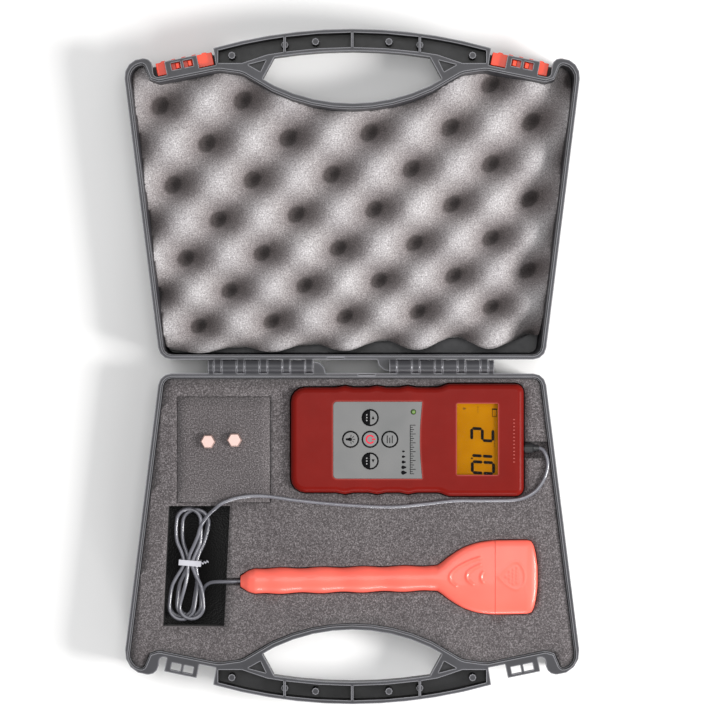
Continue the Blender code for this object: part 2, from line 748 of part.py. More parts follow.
def meter_back_shell(look):
    shell = solid("meter_back_shell", [rows(meter_outline(), BACK_PROFILE)], look)
    inside_profile = ((METER_BOTTOM_Z + METER_WALL, 4.6), (12.0, 2.6), (METER_SPLIT_Z + 1.0, 2.2))
    inside = rows(plain_meter_outline(), inside_profile)
    cut(shell, "meter_back_inside", [inside])
    post_profile = ((3.4, METER_BOTTOM_Z + 1.0), (3.0, METER_SPLIT_Z - 0.2))
    posts = [turned_z(x, y, post_profile, 10) for x, y in SCREWS_XY]
    add(shell, "meter_back_posts", posts)
    bodies = [prism(battery_cover_outline(0.0), METER_BOTTOM_Z - 1.0, METER_BOTTOM_Z + METER_WALL + 1.0)]
    bore_profile = ((2.7, METER_BOTTOM_Z - 1.0), (2.7, 10.0), (1.5, 10.0), (1.5, 24.5))
    for x, y in SCREWS_XY:
        bodies.append(turned_z(x, y, bore_profile, 10))
    cut(shell, "meter_back_openings", bodies)
    return shell


def battery_cover(look):
    outline = battery_cover_outline(GAP)
    cover = solid("battery_cover", [prism(outline, METER_BOTTOM_Z, METER_BOTTOM_Z + METER_WALL)], look)
    grooves = []
    for x in (8.0, 10.5, 13.0, 15.5):
        low = (x, METER_Y - 9.0, METER_BOTTOM_Z - 1.0)
        grooves.append(box(low, (x + 1.1, METER_Y + 9.0, METER_BOTTOM_Z + 0.7)))
    cut(cover, "battery_cover_grooves", grooves)
    return cover


def keypad_overlay(look):
    film = prism(label_outline(0.0), LABEL_FLOOR_Z + 0.3, METER_TOP_Z + 0.15)
    overlay = solid("keypad_overlay", [film], look)
    led = turned_z(*LED_XY, ((1.9, 37.0), (1.9, 42.0)), 10)
    cut(overlay, "keypad_overlay_holes", [*key_holes(KEY_HOLE_RADIUS, 37.0, 42.0), led])
    return overlay


def key(name, x, y, look):
    """A round key with a domed top and a flange that keeps it under the front shell."""
    low = KEY_BOTTOM_Z
    profile = (
        (KEY_FLANGE_RADIUS, low),
        (KEY_FLANGE_RADIUS, low + 1.2),
        (KEY_RADIUS, low + 1.2),
        (KEY_RADIUS, KEY_TOP_Z - 0.5),
        (KEY_RADIUS - 0.5, KEY_TOP_Z - 0.15),
        (KEY_RADIUS - 1.6, KEY_TOP_Z),
    )
    made = solid(name, [turned_z(x, y, profile, 16)], look)
    set_origin(made, (x, y, KEY_TOP_Z))
    return made


def key_switch(name, x, y, look):
    """A tactile switch: a square body with a round plunger."""
    body = box((x - 3.0, y - 3.0, BOARD_Z[1] + 0.3), (x + 3.0, y + 3.0, 35.2))
    switch = solid(name, [body], look)
    add(switch, name + "_plunger", [turned_z(x, y, ((1.6, 34.8), (1.6, 35.9)), 10)])
    return switch


def display_parts(looks):
    """Lens in the window, liquid-crystal panel under the shell, backlight between panel and board."""
    x0, x1 = WINDOW_X
    y0, y1 = WINDOW_Y
    gap = 0.35
    lens = box((x0 + gap, y0 + gap, 38.7), (x1 - gap, y1 - gap, 39.7))
    panel = box((x0 - 2.0, y0 - 1.6, 35.8), (x1 + 2.0, y1 + 1.6, 38.0))
    light = box((x0 - 1.0, y0, 33.6), (x1 + 1.0, y1, 35.4))
    return [
        solid("lcd_lens", [lens], looks["lens"]),
        solid("lcd_panel", [panel], looks["amber"]),
        solid("backlight_panel", [light], looks["white"]),
    ]


def batteries(cell_look, plate_look):
    """Four AAA cells side by side between two contact plates."""
    pieces = []
    start = -32.0
    for k in range(4):
        y = METER_Y + BATTERY_PITCH * (k - 1.5)
        x0, x1, cap = start, start + BATTERY_LENGTH, 1.0
        profile = (
            (4.9, x0),
            (BATTERY_RADIUS, x0 + 0.6),
            (BATTERY_RADIUS, x1 - cap),
            (1.9, x1 - cap),
            (1.9, x1),
        )
        if k % 2:
            profile = [(radius, x0 + x1 - x) for radius, x in reversed(profile)]
        cell = turned_x(y, BATTERY_CENTRE_Z, profile, 14)
        pieces.append(solid(f"battery_{k + 1}", [cell], cell_look))
    right = start + BATTERY_LENGTH + 0.4
    for name, x in (("contact_plate_left", start - 1.4), ("contact_plate_right", right)):
        plate = box((x, METER_Y - 22.0, 9.4), (x + 1.0, METER_Y + 22.0, 19.2))
        pieces.append(solid(name, [plate], plate_look))
    return pieces


def case_screw(name, x, y, look):
    """A pan-head screw driven up from the back, with a cross recess left out."""
    profile = ((2.3, METER_BOTTOM_Z + 1.2), (2.3, 9.6), (1.1, 9.6), (1.1, 32.0))
    return solid(name, [turned_z(x, y, profile, 10)], look)


def probe_socket(look):
    profile = ((3.6, 104.8), (3.6, 112.8))
    socket = solid("probe_socket", [turned_x(SOCKET_Y, SOCKET_Z, profile, 12)], look)
    cut(socket, "probe_socket_bore", [turned_x(SOCKET_Y, SOCKET_Z, ((2.5, 106.5), (2.5, 115.0)), 12)])
    return socket


def probe_plug(look):
    """The plug: a contact pin inside the socket, a round body outside and a tapered strain relief."""
    profile = (
        (1.0, 107.2),
        (2.1, 108.4),
        (2.1, METER_RIGHT + 0.4),
        (3.6, METER_RIGHT + 0.4),
        (3.6, 122.6),
        (2.6, 123.4),
        (1.7, 127.3),
    )
    return solid("probe_plug", [turned_x(SOCKET_Y, SOCKET_Z, profile, 14)], look)


# ---------------------------------------------------------------- probe


def probe_centre_y(x):
    return -145.2 + 0.0165 * x


def probe_section(x):
    """(half width, half height, squareness) of the probe at x: tail cone, waved grip, flared head."""
    tail = ((PROBE_TAIL_X, 3.9, 3.9), (-74.0, 5.2, 5.0), (-70.5, 7.4, 7.0), (-66.2, PROBE_GRIP_RADIUS, 8.2))
    head = (
        (PROBE_NECK_X, 8.7, 8.2),
        (60.4, 10.4, 8.1),
        (65.0, 14.0, 7.9),
        (71.0, 18.0, 7.5),
        (77.0, 21.2, 7.2),
        (87.4, 24.2, 7.0),
        (98.3, 25.3, 7.0),
        (118.0, 25.2, 7.0),
        (121.4, 24.4, 6.7),
        (123.2, 22.0, 6.3),
        (124.8, 16.5, 5.7),
        (PROBE_END_X, 8.0, 4.6),
    )
    if tail[-1][0] < x < PROBE_NECK_X:
        wave = 0.35 * math.cos(2 * math.pi * (x - GRIP_WAVE_CREST_X) / GRIP_WAVE)
        return PROBE_GRIP_RADIUS + wave, 8.2 + wave, 2.2
    table = tail if x <= tail[-1][0] else head
    for (xa, wa, ha), (xb, wb, hb) in zip(table, table[1:]):
        if x <= xb:
            t = (x - xa) / (xb - xa)
            square = 2.2 if table is tail else 2.2 + 2.6 * min(1.0, (x - PROBE_NECK_X) / 30.0)
            return wa + (wb - wa) * t, ha + (hb - ha) * t, square
    return table[-1][1], table[-1][2], 4.8


def probe_stations():
    """Where sections are taken along the probe."""
    grip = [GRIP_WAVE_CREST_X + GRIP_WAVE / 2 * k for k in range(-1, 8)]
    head = (PROBE_NECK_X, 60.4, 65.0, 71.0, 77.0, 87.4, 98.3, 118.0, 121.4, 123.2, 124.8, PROBE_END_X)
    return [PROBE_TAIL_X, -74.0, -70.5, -66.2, *grip, *head]


def probe_ring(x, inset, count):
    """A rounded-rectangle section of the probe across X."""
    half_width, half_height, square = probe_section(x)
    ring = []
    for k in range(count):
        angle = 2 * math.pi * (k + 0.5) / count
        c, s = math.cos(angle), math.sin(angle)
        y = (half_width - inset) * math.copysign(abs(c) ** (2 / square), c)
        z = (half_height - inset) * math.copysign(abs(s) ** (2 / square), s)
        ring.append((x, probe_centre_y(x) + y, PROBE_Z + z))
    return ring


def probe_plan(clearance):
    """The probe's outline seen from above, with a clearance, anticlockwise."""
    below, above = [], []
    for x in probe_stations():
        half_width = probe_section(x)[0] + clearance
        if x > PROBE_BLUNT_X:
            x += clearance
        if x == PROBE_TAIL_X:
            x -= clearance
        below.append((x, probe_centre_y(x) - half_width, 0.0))
        above.append((x, probe_centre_y(x) + half_width, 0.0))
    return below + above[::-1]


def probe_bodies(looks):
    """Two grip shells, split level with the middle line, and the sensor cap past the seam."""
    outside = [probe_ring(x, 0.0, 20) for x in probe_stations()]
    inside_x = (-68.0, -62.0, 50.0, 60.4, 71.0, 87.4, 98.3, 118.0, 122.4)
    inside = [probe_ring(x, PROBE_WALL, 12) for x in inside_x]
    bush_hole = turned_x(probe_centre_y(-72.0), PROBE_Z, ((2.25, -78.0), (2.25, -66.0)), 12)
    limits = {
        "probe_top_shell": ((-80.0, -180.0, PROBE_Z + 0.15), (PROBE_SEAM_X, -110.0, 45.0)),
        "probe_bottom_shell": ((-80.0, -180.0, 15.0), (PROBE_SEAM_X, -110.0, PROBE_Z - 0.15)),
        "probe_sensor_cap": ((PROBE_SEAM_X + 0.3, -180.0, 15.0), (130.0, -110.0, 45.0)),
    }
    pieces = []
    for name, (low, high) in limits.items():
        piece = solid(name, [outside], looks["coral"])
        keep(piece, name + "_part", [box(low, high)])
        cut(piece, name + "_inside", [inside])
        if name != "probe_sensor_cap":
            cut(piece, name + "_tail_hole", [bush_hole])
        pieces.append(piece)
    return pieces


def probe_inner_parts(looks):
    """Circuit board along the grip, sensor plate in the cap and the rubber bush round the cable."""
    board = [
        (x, probe_centre_y(x) + side * 4.6)
        for x, side in ((-58.0, -1.0), (92.0, -1.0), (92.0, 1.0), (-58.0, 1.0))
    ]
    plate = rectangle(101.0, probe_centre_y(110.0) - 18.0, 119.0, probe_centre_y(110.0) + 18.0)
    bush = turned_x(probe_centre_y(-72.0), PROBE_Z, ((1.9, -76.2), (1.9, -66.5)), 12)
    return [
        solid("probe_board", [prism(board, PROBE_Z - 0.8, PROBE_Z + 0.8)], looks["board"]),
        solid("probe_sensor_plate", [prism(plate, PROBE_Z - 4.4, PROBE_Z - 2.8)], looks["steel"]),
        solid("probe_cable_bush", [bush], looks["rubber"]),
    ]


# ---------------------------------------------------------------- cable


def smooth_route(points, step):
    """Points about a step apart along a smooth curve through the route's own points."""
    route = [Vector(p) for p in points]
    route = [route[0] * 2 - route[1], *route, route[-1] * 2 - route[-2]]
    fine = []
    for a, b, c, d in zip(route, route[1:], route[2:], route[3:]):
        for k in range(24):
            t = k / 24
            bend = (a * 2 - b * 5 + c * 4 - d) * t**2 + (b * 3 - a - c * 3 + d) * t**3
            fine.append(0.5 * (b * 2 + (c - a) * t + bend))
    fine.append(route[-2])
    length = sum((q - p).length for p, q in zip(fine, fine[1:]))
    count = max(2, round(length / step))
    picked, travelled, target = [fine[0]], 0.0, length / count
    for p, q in zip(fine, fine[1:]):
        travelled += (q - p).length
        if travelled >= target - 1e-6 and len(picked) < count:
            picked.append(q)
            target += length / count
    return [*picked, fine[-1]]


def cable(name, points, look):
    """A length of cable as a round tube with closed ends."""
    route = smooth_route(points, CABLE_STEP)
    curve = bpy.data.curves.new(name, "CURVE")
    curve.dimensions = "3D"
    curve.bevel_depth = CABLE_RADIUS * MM
    curve.bevel_resolution = 2
    curve.use_fill_caps = True
    spline = curve.splines.new("POLY")
    spline.points.add(len(route) - 1)
    for point, place in zip(spline.points, route):
        point.co = (*(place * MM), 1.0)
    made = bpy.data.objects.new(name, curve)
    bpy.context.collection.objects.link(made)
    curve.materials.append(look)
    return made


def hank_point(across, along):
    """A point of the hank's own frame, which leans a little to the right at its top."""
    c, s = math.cos(HANK_LEAN), math.sin(HANK_LEAN)
    return HANK_CENTRE[0] + across * c + along * s, HANK_CENTRE[1] - across * s + along * c


def cable_hank(look):
    """The tied hank as one closed solid: an outline with round ends and a waist at the tie."""
    straight = HANK_LENGTH / 2 - HANK_HALF_WIDTH

    def half_width(along):
        return HANK_HALF_WIDTH - HANK_WAIST * math.exp(-((along / 12.0) ** 2))

    right = [(half_width(a), a) for a in spaced(-straight, straight, 9)]
    left = [(-w, a) for w, a in reversed(right)]
    bends = [math.radians(a) for a in (36, 72, 108, 144)]
    top = [(HANK_HALF_WIDTH * math.cos(a), straight + HANK_HALF_WIDTH * math.sin(a)) for a in bends]
    bottom = [(-w, -a) for w, a in top]
    outline = [hank_point(w, a) for w, a in right + top + left + bottom]
    profile = ((HANK_Z[0], 1.2), (15.2, 0.0), (24.3, 0.0), (HANK_Z[1], 1.2))
    return solid("cable_hank", [rows(outline, profile)], look)


def cable_tie(look):
    """The band round the hank's waist."""

    def band(half_width, half_length, low, high):
        corners = ((-1, -1), (1, -1), (1, 1), (-1, 1))
        return prism([hank_point(half_width * a, half_length * b) for a, b in corners], low, high)

    half = HANK_HALF_WIDTH - HANK_WAIST + 0.6
    tie = solid("cable_tie", [band(half + 0.9, 1.9, HANK_Z[0] - 1.3, HANK_Z[1] + 1.3)], look)
    cut(tie, "cable_tie_inside", [band(half, 3.0, HANK_Z[0] - 0.4, HANK_Z[1] + 0.4)])
    return tie


# ---------------------------------------------------------------- assembly


def make_looks():
    return {
        "case": material("case_plastic", (0.068, 0.068, 0.076), 0.48),
        "foam": material("grey_foam", (0.115, 0.105, 0.112), 0.95),
        "light_foam": material("light_grey_foam", (0.36, 0.355, 0.365), 0.95),
        "latch": material("latch_plastic", (0.95, 0.06, 0.02), 0.4),
        "steel": material("steel", (0.56, 0.56, 0.58), 0.3, 1.0),
        "pin": material("pin_brass", (0.8, 0.58, 0.5), 0.32, 1.0),
        "red": material("meter_plastic", (0.35, 0.02, 0.018), 0.36),
        "label": material("label_film", (0.3, 0.3, 0.3), 0.4),
        "key": material("key_film", (0.4, 0.4, 0.4), 0.4),
        "lens": material("clear_lens", (0.9, 0.85, 0.7), 0.08),
        "amber": material("display_amber", (0.6, 0.28, 0.01), 0.3),
        "white": material("light_guide", (0.8, 0.8, 0.78), 0.4),
        "board": material("circuit_board", (0.03, 0.16, 0.06), 0.5),
        "black": material("black_plastic", (0.02, 0.02, 0.022), 0.45),
        "green": material("indicator_green", (0.05, 0.25, 0.03), 0.25),
        "cell": material("battery_wrap", (0.05, 0.08, 0.2), 0.35),
        "coral": material("probe_plastic", (0.82, 0.11, 0.08), 0.38),
        "rubber": material("cable_rubber", (0.03, 0.03, 0.032), 0.42),
        "tie": material("cable_tie_nylon", (0.55, 0.55, 0.58), 0.4),
    }


def make_case(looks):
    case_shell("base_shell", looks["case"], lid=False)
    base_foam(looks["foam"])
    foam_plug(looks["foam"])
    for k, (x, y) in enumerate(CONTACT_PINS_XY):
        contact_pin(f"contact_pin_{k + 1}", x, y, looks["pin"])
    hinge_pins(looks["steel"])
    latches = [latch("latch_left", -1.0, looks["latch"]), latch("latch_right", 1.0, looks["latch"])]
    lid_pieces = [case_shell("lid_shell", looks["case"], lid=True), lid_foam(looks["light_foam"]), *latches]
    hang(empty("lid_pivot", (0.0, 0.0, HINGE_Z)), lid_pieces)


def make_meter(looks):
    pieces = [
        meter_front_shell(looks["red"]),
        meter_back_shell(looks["red"]),
        battery_cover(looks["red"]),
        keypad_overlay(looks["label"]),
        *display_parts(looks),
        *batteries(looks["cell"], looks["steel"]),
        probe_socket(looks["black"]),
        probe_plug(looks["black"]),
    ]
    for name, (x, y) in KEYS.items():
        pieces.append(key(name, x, y, looks["key"]))
        pieces.append(key_switch(name.replace("key", "switch"), x, y, looks["black"]))
    for k, (x, y) in enumerate(SCREWS_XY):
        pieces.append(case_screw(f"case_screw_{k + 1}", x, y, looks["steel"]))
    board = rectangle(-30.0, METER_Y - 23.0, 103.0, METER_Y + 23.0)
    pieces.append(solid("main_board", [prism(board, *BOARD_Z)], looks["board"]))
    led = turned_z(*LED_XY, ((1.5, BOARD_Z[1] + 0.3), (1.5, 40.4), (0.9, 41.0)), 12)
    pieces.append(solid("status_led", [led], looks["green"]))
    return pieces


def make_probe(looks):
    return [*probe_bodies(looks), *probe_inner_parts(looks)]


def make_cable(looks):
    return [
        cable("cable_run", CABLE_RUN, looks["rubber"]),
        cable_hank(looks["rubber"]),
        cable("cable_tail", CABLE_TAIL, looks["rubber"]),
        cable_tie(looks["tie"]),
    ]


def main():
    for existing in list(bpy.data.objects):
        bpy.data.objects.remove(existing)
    looks = make_looks()
    make_case(looks)
    instrument = [*make_meter(looks), *make_probe(looks), *make_cable(looks)]
    hang(empty("instrument_seat", (METER_RIGHT - 80.0, METER_Y, METER_BOTTOM_Z)), instrument)


main()
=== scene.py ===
"""Looks for the moisture meter kit: open carry case, foams, meter, wired probe and its cable.
"""

import math

import bmesh
import bpy
import numpy as np
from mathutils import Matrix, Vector, noise


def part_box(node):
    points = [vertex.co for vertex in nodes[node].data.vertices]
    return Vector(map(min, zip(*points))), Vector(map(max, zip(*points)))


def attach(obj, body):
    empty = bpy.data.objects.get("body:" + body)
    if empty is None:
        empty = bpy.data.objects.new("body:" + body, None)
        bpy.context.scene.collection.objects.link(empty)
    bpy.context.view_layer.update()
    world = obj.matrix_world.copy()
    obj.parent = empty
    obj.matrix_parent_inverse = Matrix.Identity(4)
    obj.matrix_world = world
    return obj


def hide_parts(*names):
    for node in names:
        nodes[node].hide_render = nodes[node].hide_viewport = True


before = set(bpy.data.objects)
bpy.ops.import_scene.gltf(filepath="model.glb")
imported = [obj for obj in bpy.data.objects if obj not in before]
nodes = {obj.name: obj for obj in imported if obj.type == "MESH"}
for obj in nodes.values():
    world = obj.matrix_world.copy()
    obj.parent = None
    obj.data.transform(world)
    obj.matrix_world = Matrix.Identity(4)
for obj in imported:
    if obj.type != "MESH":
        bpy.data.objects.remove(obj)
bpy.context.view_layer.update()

MM = 0.001
RIM_Z = 36.0
CABLE_RADIUS = 1.25
WHITE = (1.0, 1.0, 1.0, 1.0)
BLACK = (0.0, 0.0, 0.0, 1.0)
TURN = 2 * math.pi


# ---------------------------------------------------------------- helpers


def srgb(red, green, blue):
    """Linear colour from 0-255 screen values."""
    linear = []
    for value in (red, green, blue):
        v = value / 255
        linear.append(v / 12.92 if v <= 0.04045 else ((v + 0.055) / 1.055) ** 2.4)
    return (*linear, 1.0)


def dimmed(colour, share):
    """The colour at a share of its brightness."""
    return (*(c * share for c in colour[:3]), 1.0)


def top_of(node):
    """A CAD node's highest level."""
    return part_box(node)[1].z / MM


def centre_of(node):
    """The middle of a CAD node, seen from above."""
    low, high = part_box(node)
    return (low.x + high.x) / 2 / MM, (low.y + high.y) / 2 / MM


def new_piece(name, data, body):
    piece = bpy.data.objects.new(name, data)
    bpy.context.scene.collection.objects.link(piece)
    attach(piece, body)
    return piece


def mesh_piece(name, points, faces, body, look, smooth=None):
    """A piece from points and faces; edges sharper than smooth degrees stay sharp."""
    mesh = bpy.data.meshes.new(name)
    mesh.from_pydata([tuple(c * MM for c in p) for p in points], [], faces)
    grid = bmesh.new()
    grid.from_mesh(mesh)
    bmesh.ops.recalc_face_normals(grid, faces=grid.faces)
    grid.to_mesh(mesh)
    grid.free()
    mesh.materials.append(look)
    if smooth is not None:
        mesh.shade_smooth()
        mesh.set_sharp_from_angle(angle=math.radians(smooth))
    return new_piece(name, mesh, body)


def smooth_path(points, step):
    """Points a step apart along a smooth curve through the given points."""
    route = [Vector(p) for p in points]
    route = [route[0] * 2 - route[1], *route, route[-1] * 2 - route[-2]]
    parts = 16
    fine = []
    for a, b, c, d in zip(route, route[1:], route[2:], route[3:]):
        for k in range(parts):
            t = k / parts
            bend = (a * 2 - b * 5 + c * 4 - d) * t**2 + (b * 3 - a - c * 3 + d) * t**3
            fine.append(0.5 * (b * 2 + (c - a) * t + bend))
    fine.append(route[-2])
    picked = [fine[0]]
    travelled = 0.0
    for p, q in zip(fine, fine[1:]):
        travelled += (q - p).length
        if travelled >= step:
            picked.append(q)
            travelled = 0.0
    if (picked[-1] - fine[-1]).length < step / 2:
        picked.pop()
    return [*picked, fine[-1]]


def tube(name, points, radius, body, look):
    """A round tube along points, as a curve of one open spline."""
    curve = bpy.data.curves.new(name, "CURVE")
    curve.dimensions = "3D"
    curve.bevel_depth = radius * MM
    curve.bevel_resolution = 4
    curve.use_fill_caps = True
    spline = curve.splines.new("POLY")
    spline.points.add(len(points) - 1)
    for point, place in zip(spline.points, points):
        point.co = (*(Vector(place) * MM), 1.0)
    curve.materials.append(look)
    return new_piece(name, curve, body)


# ---------------------------------------------------------------- camera

CAMERA_PLACE = (0.0053, 0.0044, 1.9)
VIEW_WIDTH = 0.4896
SENSOR_MM = 36.0

camera = bpy.data.objects.new("camera", bpy.data.cameras.new("camera"))
bpy.context.scene.collection.objects.link(camera)
camera.location = CAMERA_PLACE
camera.data.sensor_width = SENSOR_MM
camera.data.lens = SENSOR_MM * (CAMERA_PLACE[2] - RIM_Z * MM) / VIEW_WIDTH
camera.data.clip_end = 10.0
bpy.context.scene.camera = camera


# ---------------------------------------------------------------- materials


class Look:
    """A Principled material with its node tree, fed by object coordinates in metres."""

    def __init__(self, name, colour, roughness, metallic=0.0, **inputs):
        self.material = bpy.data.materials.new(name)
        self.material.use_nodes = True
        self.tree = self.material.node_tree
        self.shader = self.tree.nodes["Principled BSDF"]
        self.shader.inputs["Base Color"].default_value = colour
        self.shader.inputs["Roughness"].default_value = roughness
        self.shader.inputs["Metallic"].default_value = metallic
        for socket, value in inputs.items():
            self.shader.inputs[socket.replace("_", " ")].default_value = value
        self.place = self.node("ShaderNodeTexCoord").outputs["Object"]

    def node(self, kind, **settings):
        made = self.tree.nodes.new(kind)
        for key, value in settings.items():
            setattr(made, key, value)
        return made

    def link(self, output, target):
        self.tree.links.new(output, target)

    def noise(self, scale, detail=3.0, rough=0.6):
        made = self.node("ShaderNodeTexNoise")
        self.link(self.place, made.inputs["Vector"])
        made.inputs["Scale"].default_value = scale
        made.inputs["Detail"].default_value = detail
        made.inputs["Roughness"].default_value = rough
        return made.outputs["Fac"]

    def cells(self, scale):
        made = self.node("ShaderNodeTexVoronoi")
        self.link(self.place, made.inputs["Vector"])
        made.inputs["Scale"].default_value = scale
        return made.outputs["Distance"]

    def closeness(self, reach, inside):
        """1 where nothing of the body is within reach, less in a recess or, from inside, at an edge."""
        made = self.node("ShaderNodeAmbientOcclusion", samples=8, inside=inside, only_local=True)
        made.inputs["Distance"].default_value = reach * MM
        return made.outputs["AO"]

    def axis(self, name):
        split = self.node("ShaderNodeSeparateXYZ")
        self.link(self.place, split.inputs["Vector"])
        return split.outputs[name]

    def lean(self, direction):
        """How far the surface faces a direction, -1 to 1."""
        made = self.node("ShaderNodeVectorMath", operation="DOT_PRODUCT")
        self.link(self.node("ShaderNodeTexCoord").outputs["Normal"], made.inputs[0])
        made.inputs[1].default_value = direction
        return made.outputs["Value"]

    def span(self, value, low, high):
        """Turns low to high into 0 to 1."""
        made = self.node("ShaderNodeMapRange")
        self.link(value, made.inputs["Value"])
        made.inputs["From Min"].default_value = low
        made.inputs["From Max"].default_value = high
        return made.outputs["Result"]

    def ramp(self, factor, stops):
        made = self.node("ShaderNodeValToRGB")
        self.link(factor, made.inputs["Fac"])
        elements = made.color_ramp.elements
        while len(elements) < len(stops):
            elements.new(0.5)
        for element, (position, colour) in zip(elements, stops):
            element.position = position
            element.color = colour
        return made.outputs["Color"]

    def mix(self, a, b, blend="MULTIPLY"):
        made = self.node("ShaderNodeMix", data_type="RGBA", blend_type=blend)
        made.inputs["Factor"].default_value = 1.0
        self.link(a, made.inputs[6])
        self.link(b, made.inputs[7])
        return made.outputs[2]

    def colour(self, output):
        self.link(output, self.shader.inputs["Base Color"])

    def rough(self, factor, low, high):
        made = self.node("ShaderNodeMapRange")
        self.link(factor, made.inputs["Value"])
        made.inputs["To Min"].default_value = low
        made.inputs["To Max"].default_value = high
        self.link(made.outputs["Result"], self.shader.inputs["Roughness"])

    def bump(self, height, strength, distance):
        made = self.node("ShaderNodeBump")
        self.link(height, made.inputs["Height"])
        made.inputs["Strength"].default_value = strength
        made.inputs["Distance"].default_value = distance * MM
        self.link(made.outputs["Normal"], self.shader.inputs["Normal"])


def plastic(name, dark, light, roughness, grain=0.12, blotch=40.0, recess_shade=None, edge=None, **inputs):
    """Moulded plastic: fine grain in the bump, faint colour drift and uneven gloss.

    The recess setting is (reach, colour) of painted shade that darkens its recesses; edge is (reach, added
    colour) of a painted highlight that lightens its edges.
    """
    look = Look(name, light, roughness, **inputs)
    shade = look.ramp(look.noise(blotch, 2.0), ((0.3, dark), (0.7, light)))
    # Painted shade: the colour darkens in recesses, where shade falls.
    if recess_shade:
        reach, painted_shade = recess_shade
        shade = look.mix(shade, look.ramp(look.closeness(reach, False), ((0.3, painted_shade), (0.8, WHITE))))
    # Painted highlight: the colour lightens along edges, where light catches.
    if edge:
        reach, wear_and_highlight = edge
        edge_highlight = look.ramp(look.closeness(reach, True), ((0.45, wear_and_highlight), (0.9, BLACK)))
        shade = look.mix(shade, edge_highlight, "ADD")
    look.colour(shade)
    look.rough(look.noise(260.0, 3.0), roughness - 0.06, roughness + 0.08)
    look.bump(look.noise(2600.0, 2.0), grain, 0.15)
    return look.material


def foam_look(name, cell_stops, depth, lit_side=None):
    """Open cell foam: pores and bright cell walls.

    depth is (low, high, colours) of painted shade that darkens it lower down along Z, and the side setting is
    (direction, colours) of painted light and shade by how far the surface faces a direction.
    """
    look = Look(name, cell_stops[1][1], 0.95, Sheen_Weight=0.25, Sheen_Roughness=0.6, Specular_IOR_Level=0.15)
    cells = look.ramp(look.noise(1150.0, 4.0, 0.75), cell_stops)
    drift = look.ramp(look.noise(28.0), ((0.3, (0.86, 0.85, 0.86, 1.0)), (0.7, (1.05, 1.05, 1.05, 1.0))))
    shade = look.mix(cells, drift)
    # Painted shade: darker lower down, in pockets and pits where shade falls.
    low, high, colours = depth
    shade = look.mix(shade, look.ramp(look.span(look.axis("Z"), low * MM, high * MM), colours))
    # Painted light and shade: lighter on faces turned to one side, darker on faces turned away.
    if lit_side:
        direction, colours = lit_side
        shade = look.mix(shade, look.ramp(look.span(look.lean(direction), -0.7, 0.7), colours))
    look.colour(shade)
    look.bump(look.cells(900.0), 0.55, 0.5)
    return look.material


def metal(name, colour, roughness, scratches=900.0):
    """Turned or rolled metal with uneven polish."""
    look = Look(name, colour, roughness, 1.0)
    wear_and_highlight = look.noise(scratches)
    look.rough(wear_and_highlight, roughness - 0.08, roughness + 0.15)
    look.colour(look.ramp(wear_and_highlight, ((0.2, dimmed(colour, 0.75)), (0.75, colour))))
    look.bump(wear_and_highlight, 0.08, 0.1)
    return look.material


def printed(name, colour):
    """Printing ink with a faint tooth."""
    look = Look(name, colour, 0.6, Specular_IOR_Level=0.06)
    look.colour(look.ramp(look.noise(1800.0, 2.0), ((0.3, dimmed(colour, 0.85)), (0.7, colour))))
    return look.material


def clear_lens(name):
    """A clear pane with hardly any tint."""
    look = Look(name, srgb(60, 50, 30), 0.06, Specular_IOR_Level=0.1, Alpha=0.04)
    look.bump(look.noise(60.0, 1.0), 0.02, 0.1)
    look.rough(look.noise(400.0, 2.0), 0.04, 0.1)
    return look.material


def display_amber(name):
    """Backlit amber glass, brighter at the side of its lamp."""
    look = Look(name, srgb(205, 145, 10), 0.6, Specular_IOR_Level=0.03, Emission_Strength=0.12)
    amber = look.ramp(look.noise(55.0, 1.0), ((0.25, srgb(160, 102, 0)), (0.75, srgb(178, 118, 2))))
    lamp_side = look.span(look.axis("Y"), -73.0 * MM, -25.0 * MM)
    shade = look.mix(amber, look.ramp(lamp_side, ((0.0, (0.86, 0.84, 0.8, 1.0)), (0.9, WHITE))))
    look.colour(shade)
    look.link(shade, look.shader.inputs["Emission Color"])
    return look.material


# The case gets painted shade in its recesses and a painted highlight along its edges.
case_plastic = plastic(
    "case_plastic",
    srgb(44, 44, 48),
    srgb(58, 58, 63),
    0.42,
    grain=0.3,
    blotch=25.0,
    recess_shade=(18.0, (0.04, 0.04, 0.042, 1.0)),
    edge=(1.0, (0.26, 0.26, 0.28, 1.0)),
)
# The meter gets a painted highlight along its edges.
meter_plastic = plastic(
    "meter_plastic",
    srgb(112, 19, 13),
    srgb(120, 23, 17),
    0.32,
    grain=0.06,
    edge=(1.5, (0.24, 0.07, 0.06, 1.0)),
    Specular_IOR_Level=0.08,
)
probe_plastic = plastic(
    "probe_plastic",
    srgb(246, 98, 82),
    srgb(252, 108, 92),
    0.42,
    grain=0.04,
    blotch=30.0,
    Coat_Weight=0.25,
)
label_film = plastic(
    "label_film", srgb(116, 117, 117), srgb(124, 124, 124), 0.5, grain=0.1, Specular_IOR_Level=0.1
)
key_film = plastic(
    "key_film", srgb(120, 121, 121), srgb(128, 128, 128), 0.5, grain=0.08, Specular_IOR_Level=0.1
)
cable_rubber = plastic(
    "cable_rubber", srgb(98, 98, 106), srgb(116, 116, 124), 0.24, grain=0.02, Coat_Weight=1.0
)
latch_plastic = plastic("latch_plastic", srgb(252, 62, 28), srgb(255, 80, 42), 0.35)
black_plastic = plastic("black_plastic", srgb(22, 22, 24), srgb(34, 34, 36), 0.45)
tie_nylon = plastic("tie_nylon", srgb(168, 168, 176), srgb(196, 196, 204), 0.35)
white_guide = plastic("white_guide", srgb(225, 225, 220), srgb(240, 240, 236), 0.4)
circuit_board = plastic("circuit_board", srgb(24, 84, 46), srgb(34, 104, 58), 0.5, blotch=400.0)
battery_wrap = plastic("battery_wrap", srgb(40, 56, 96), srgb(54, 72, 116), 0.35)
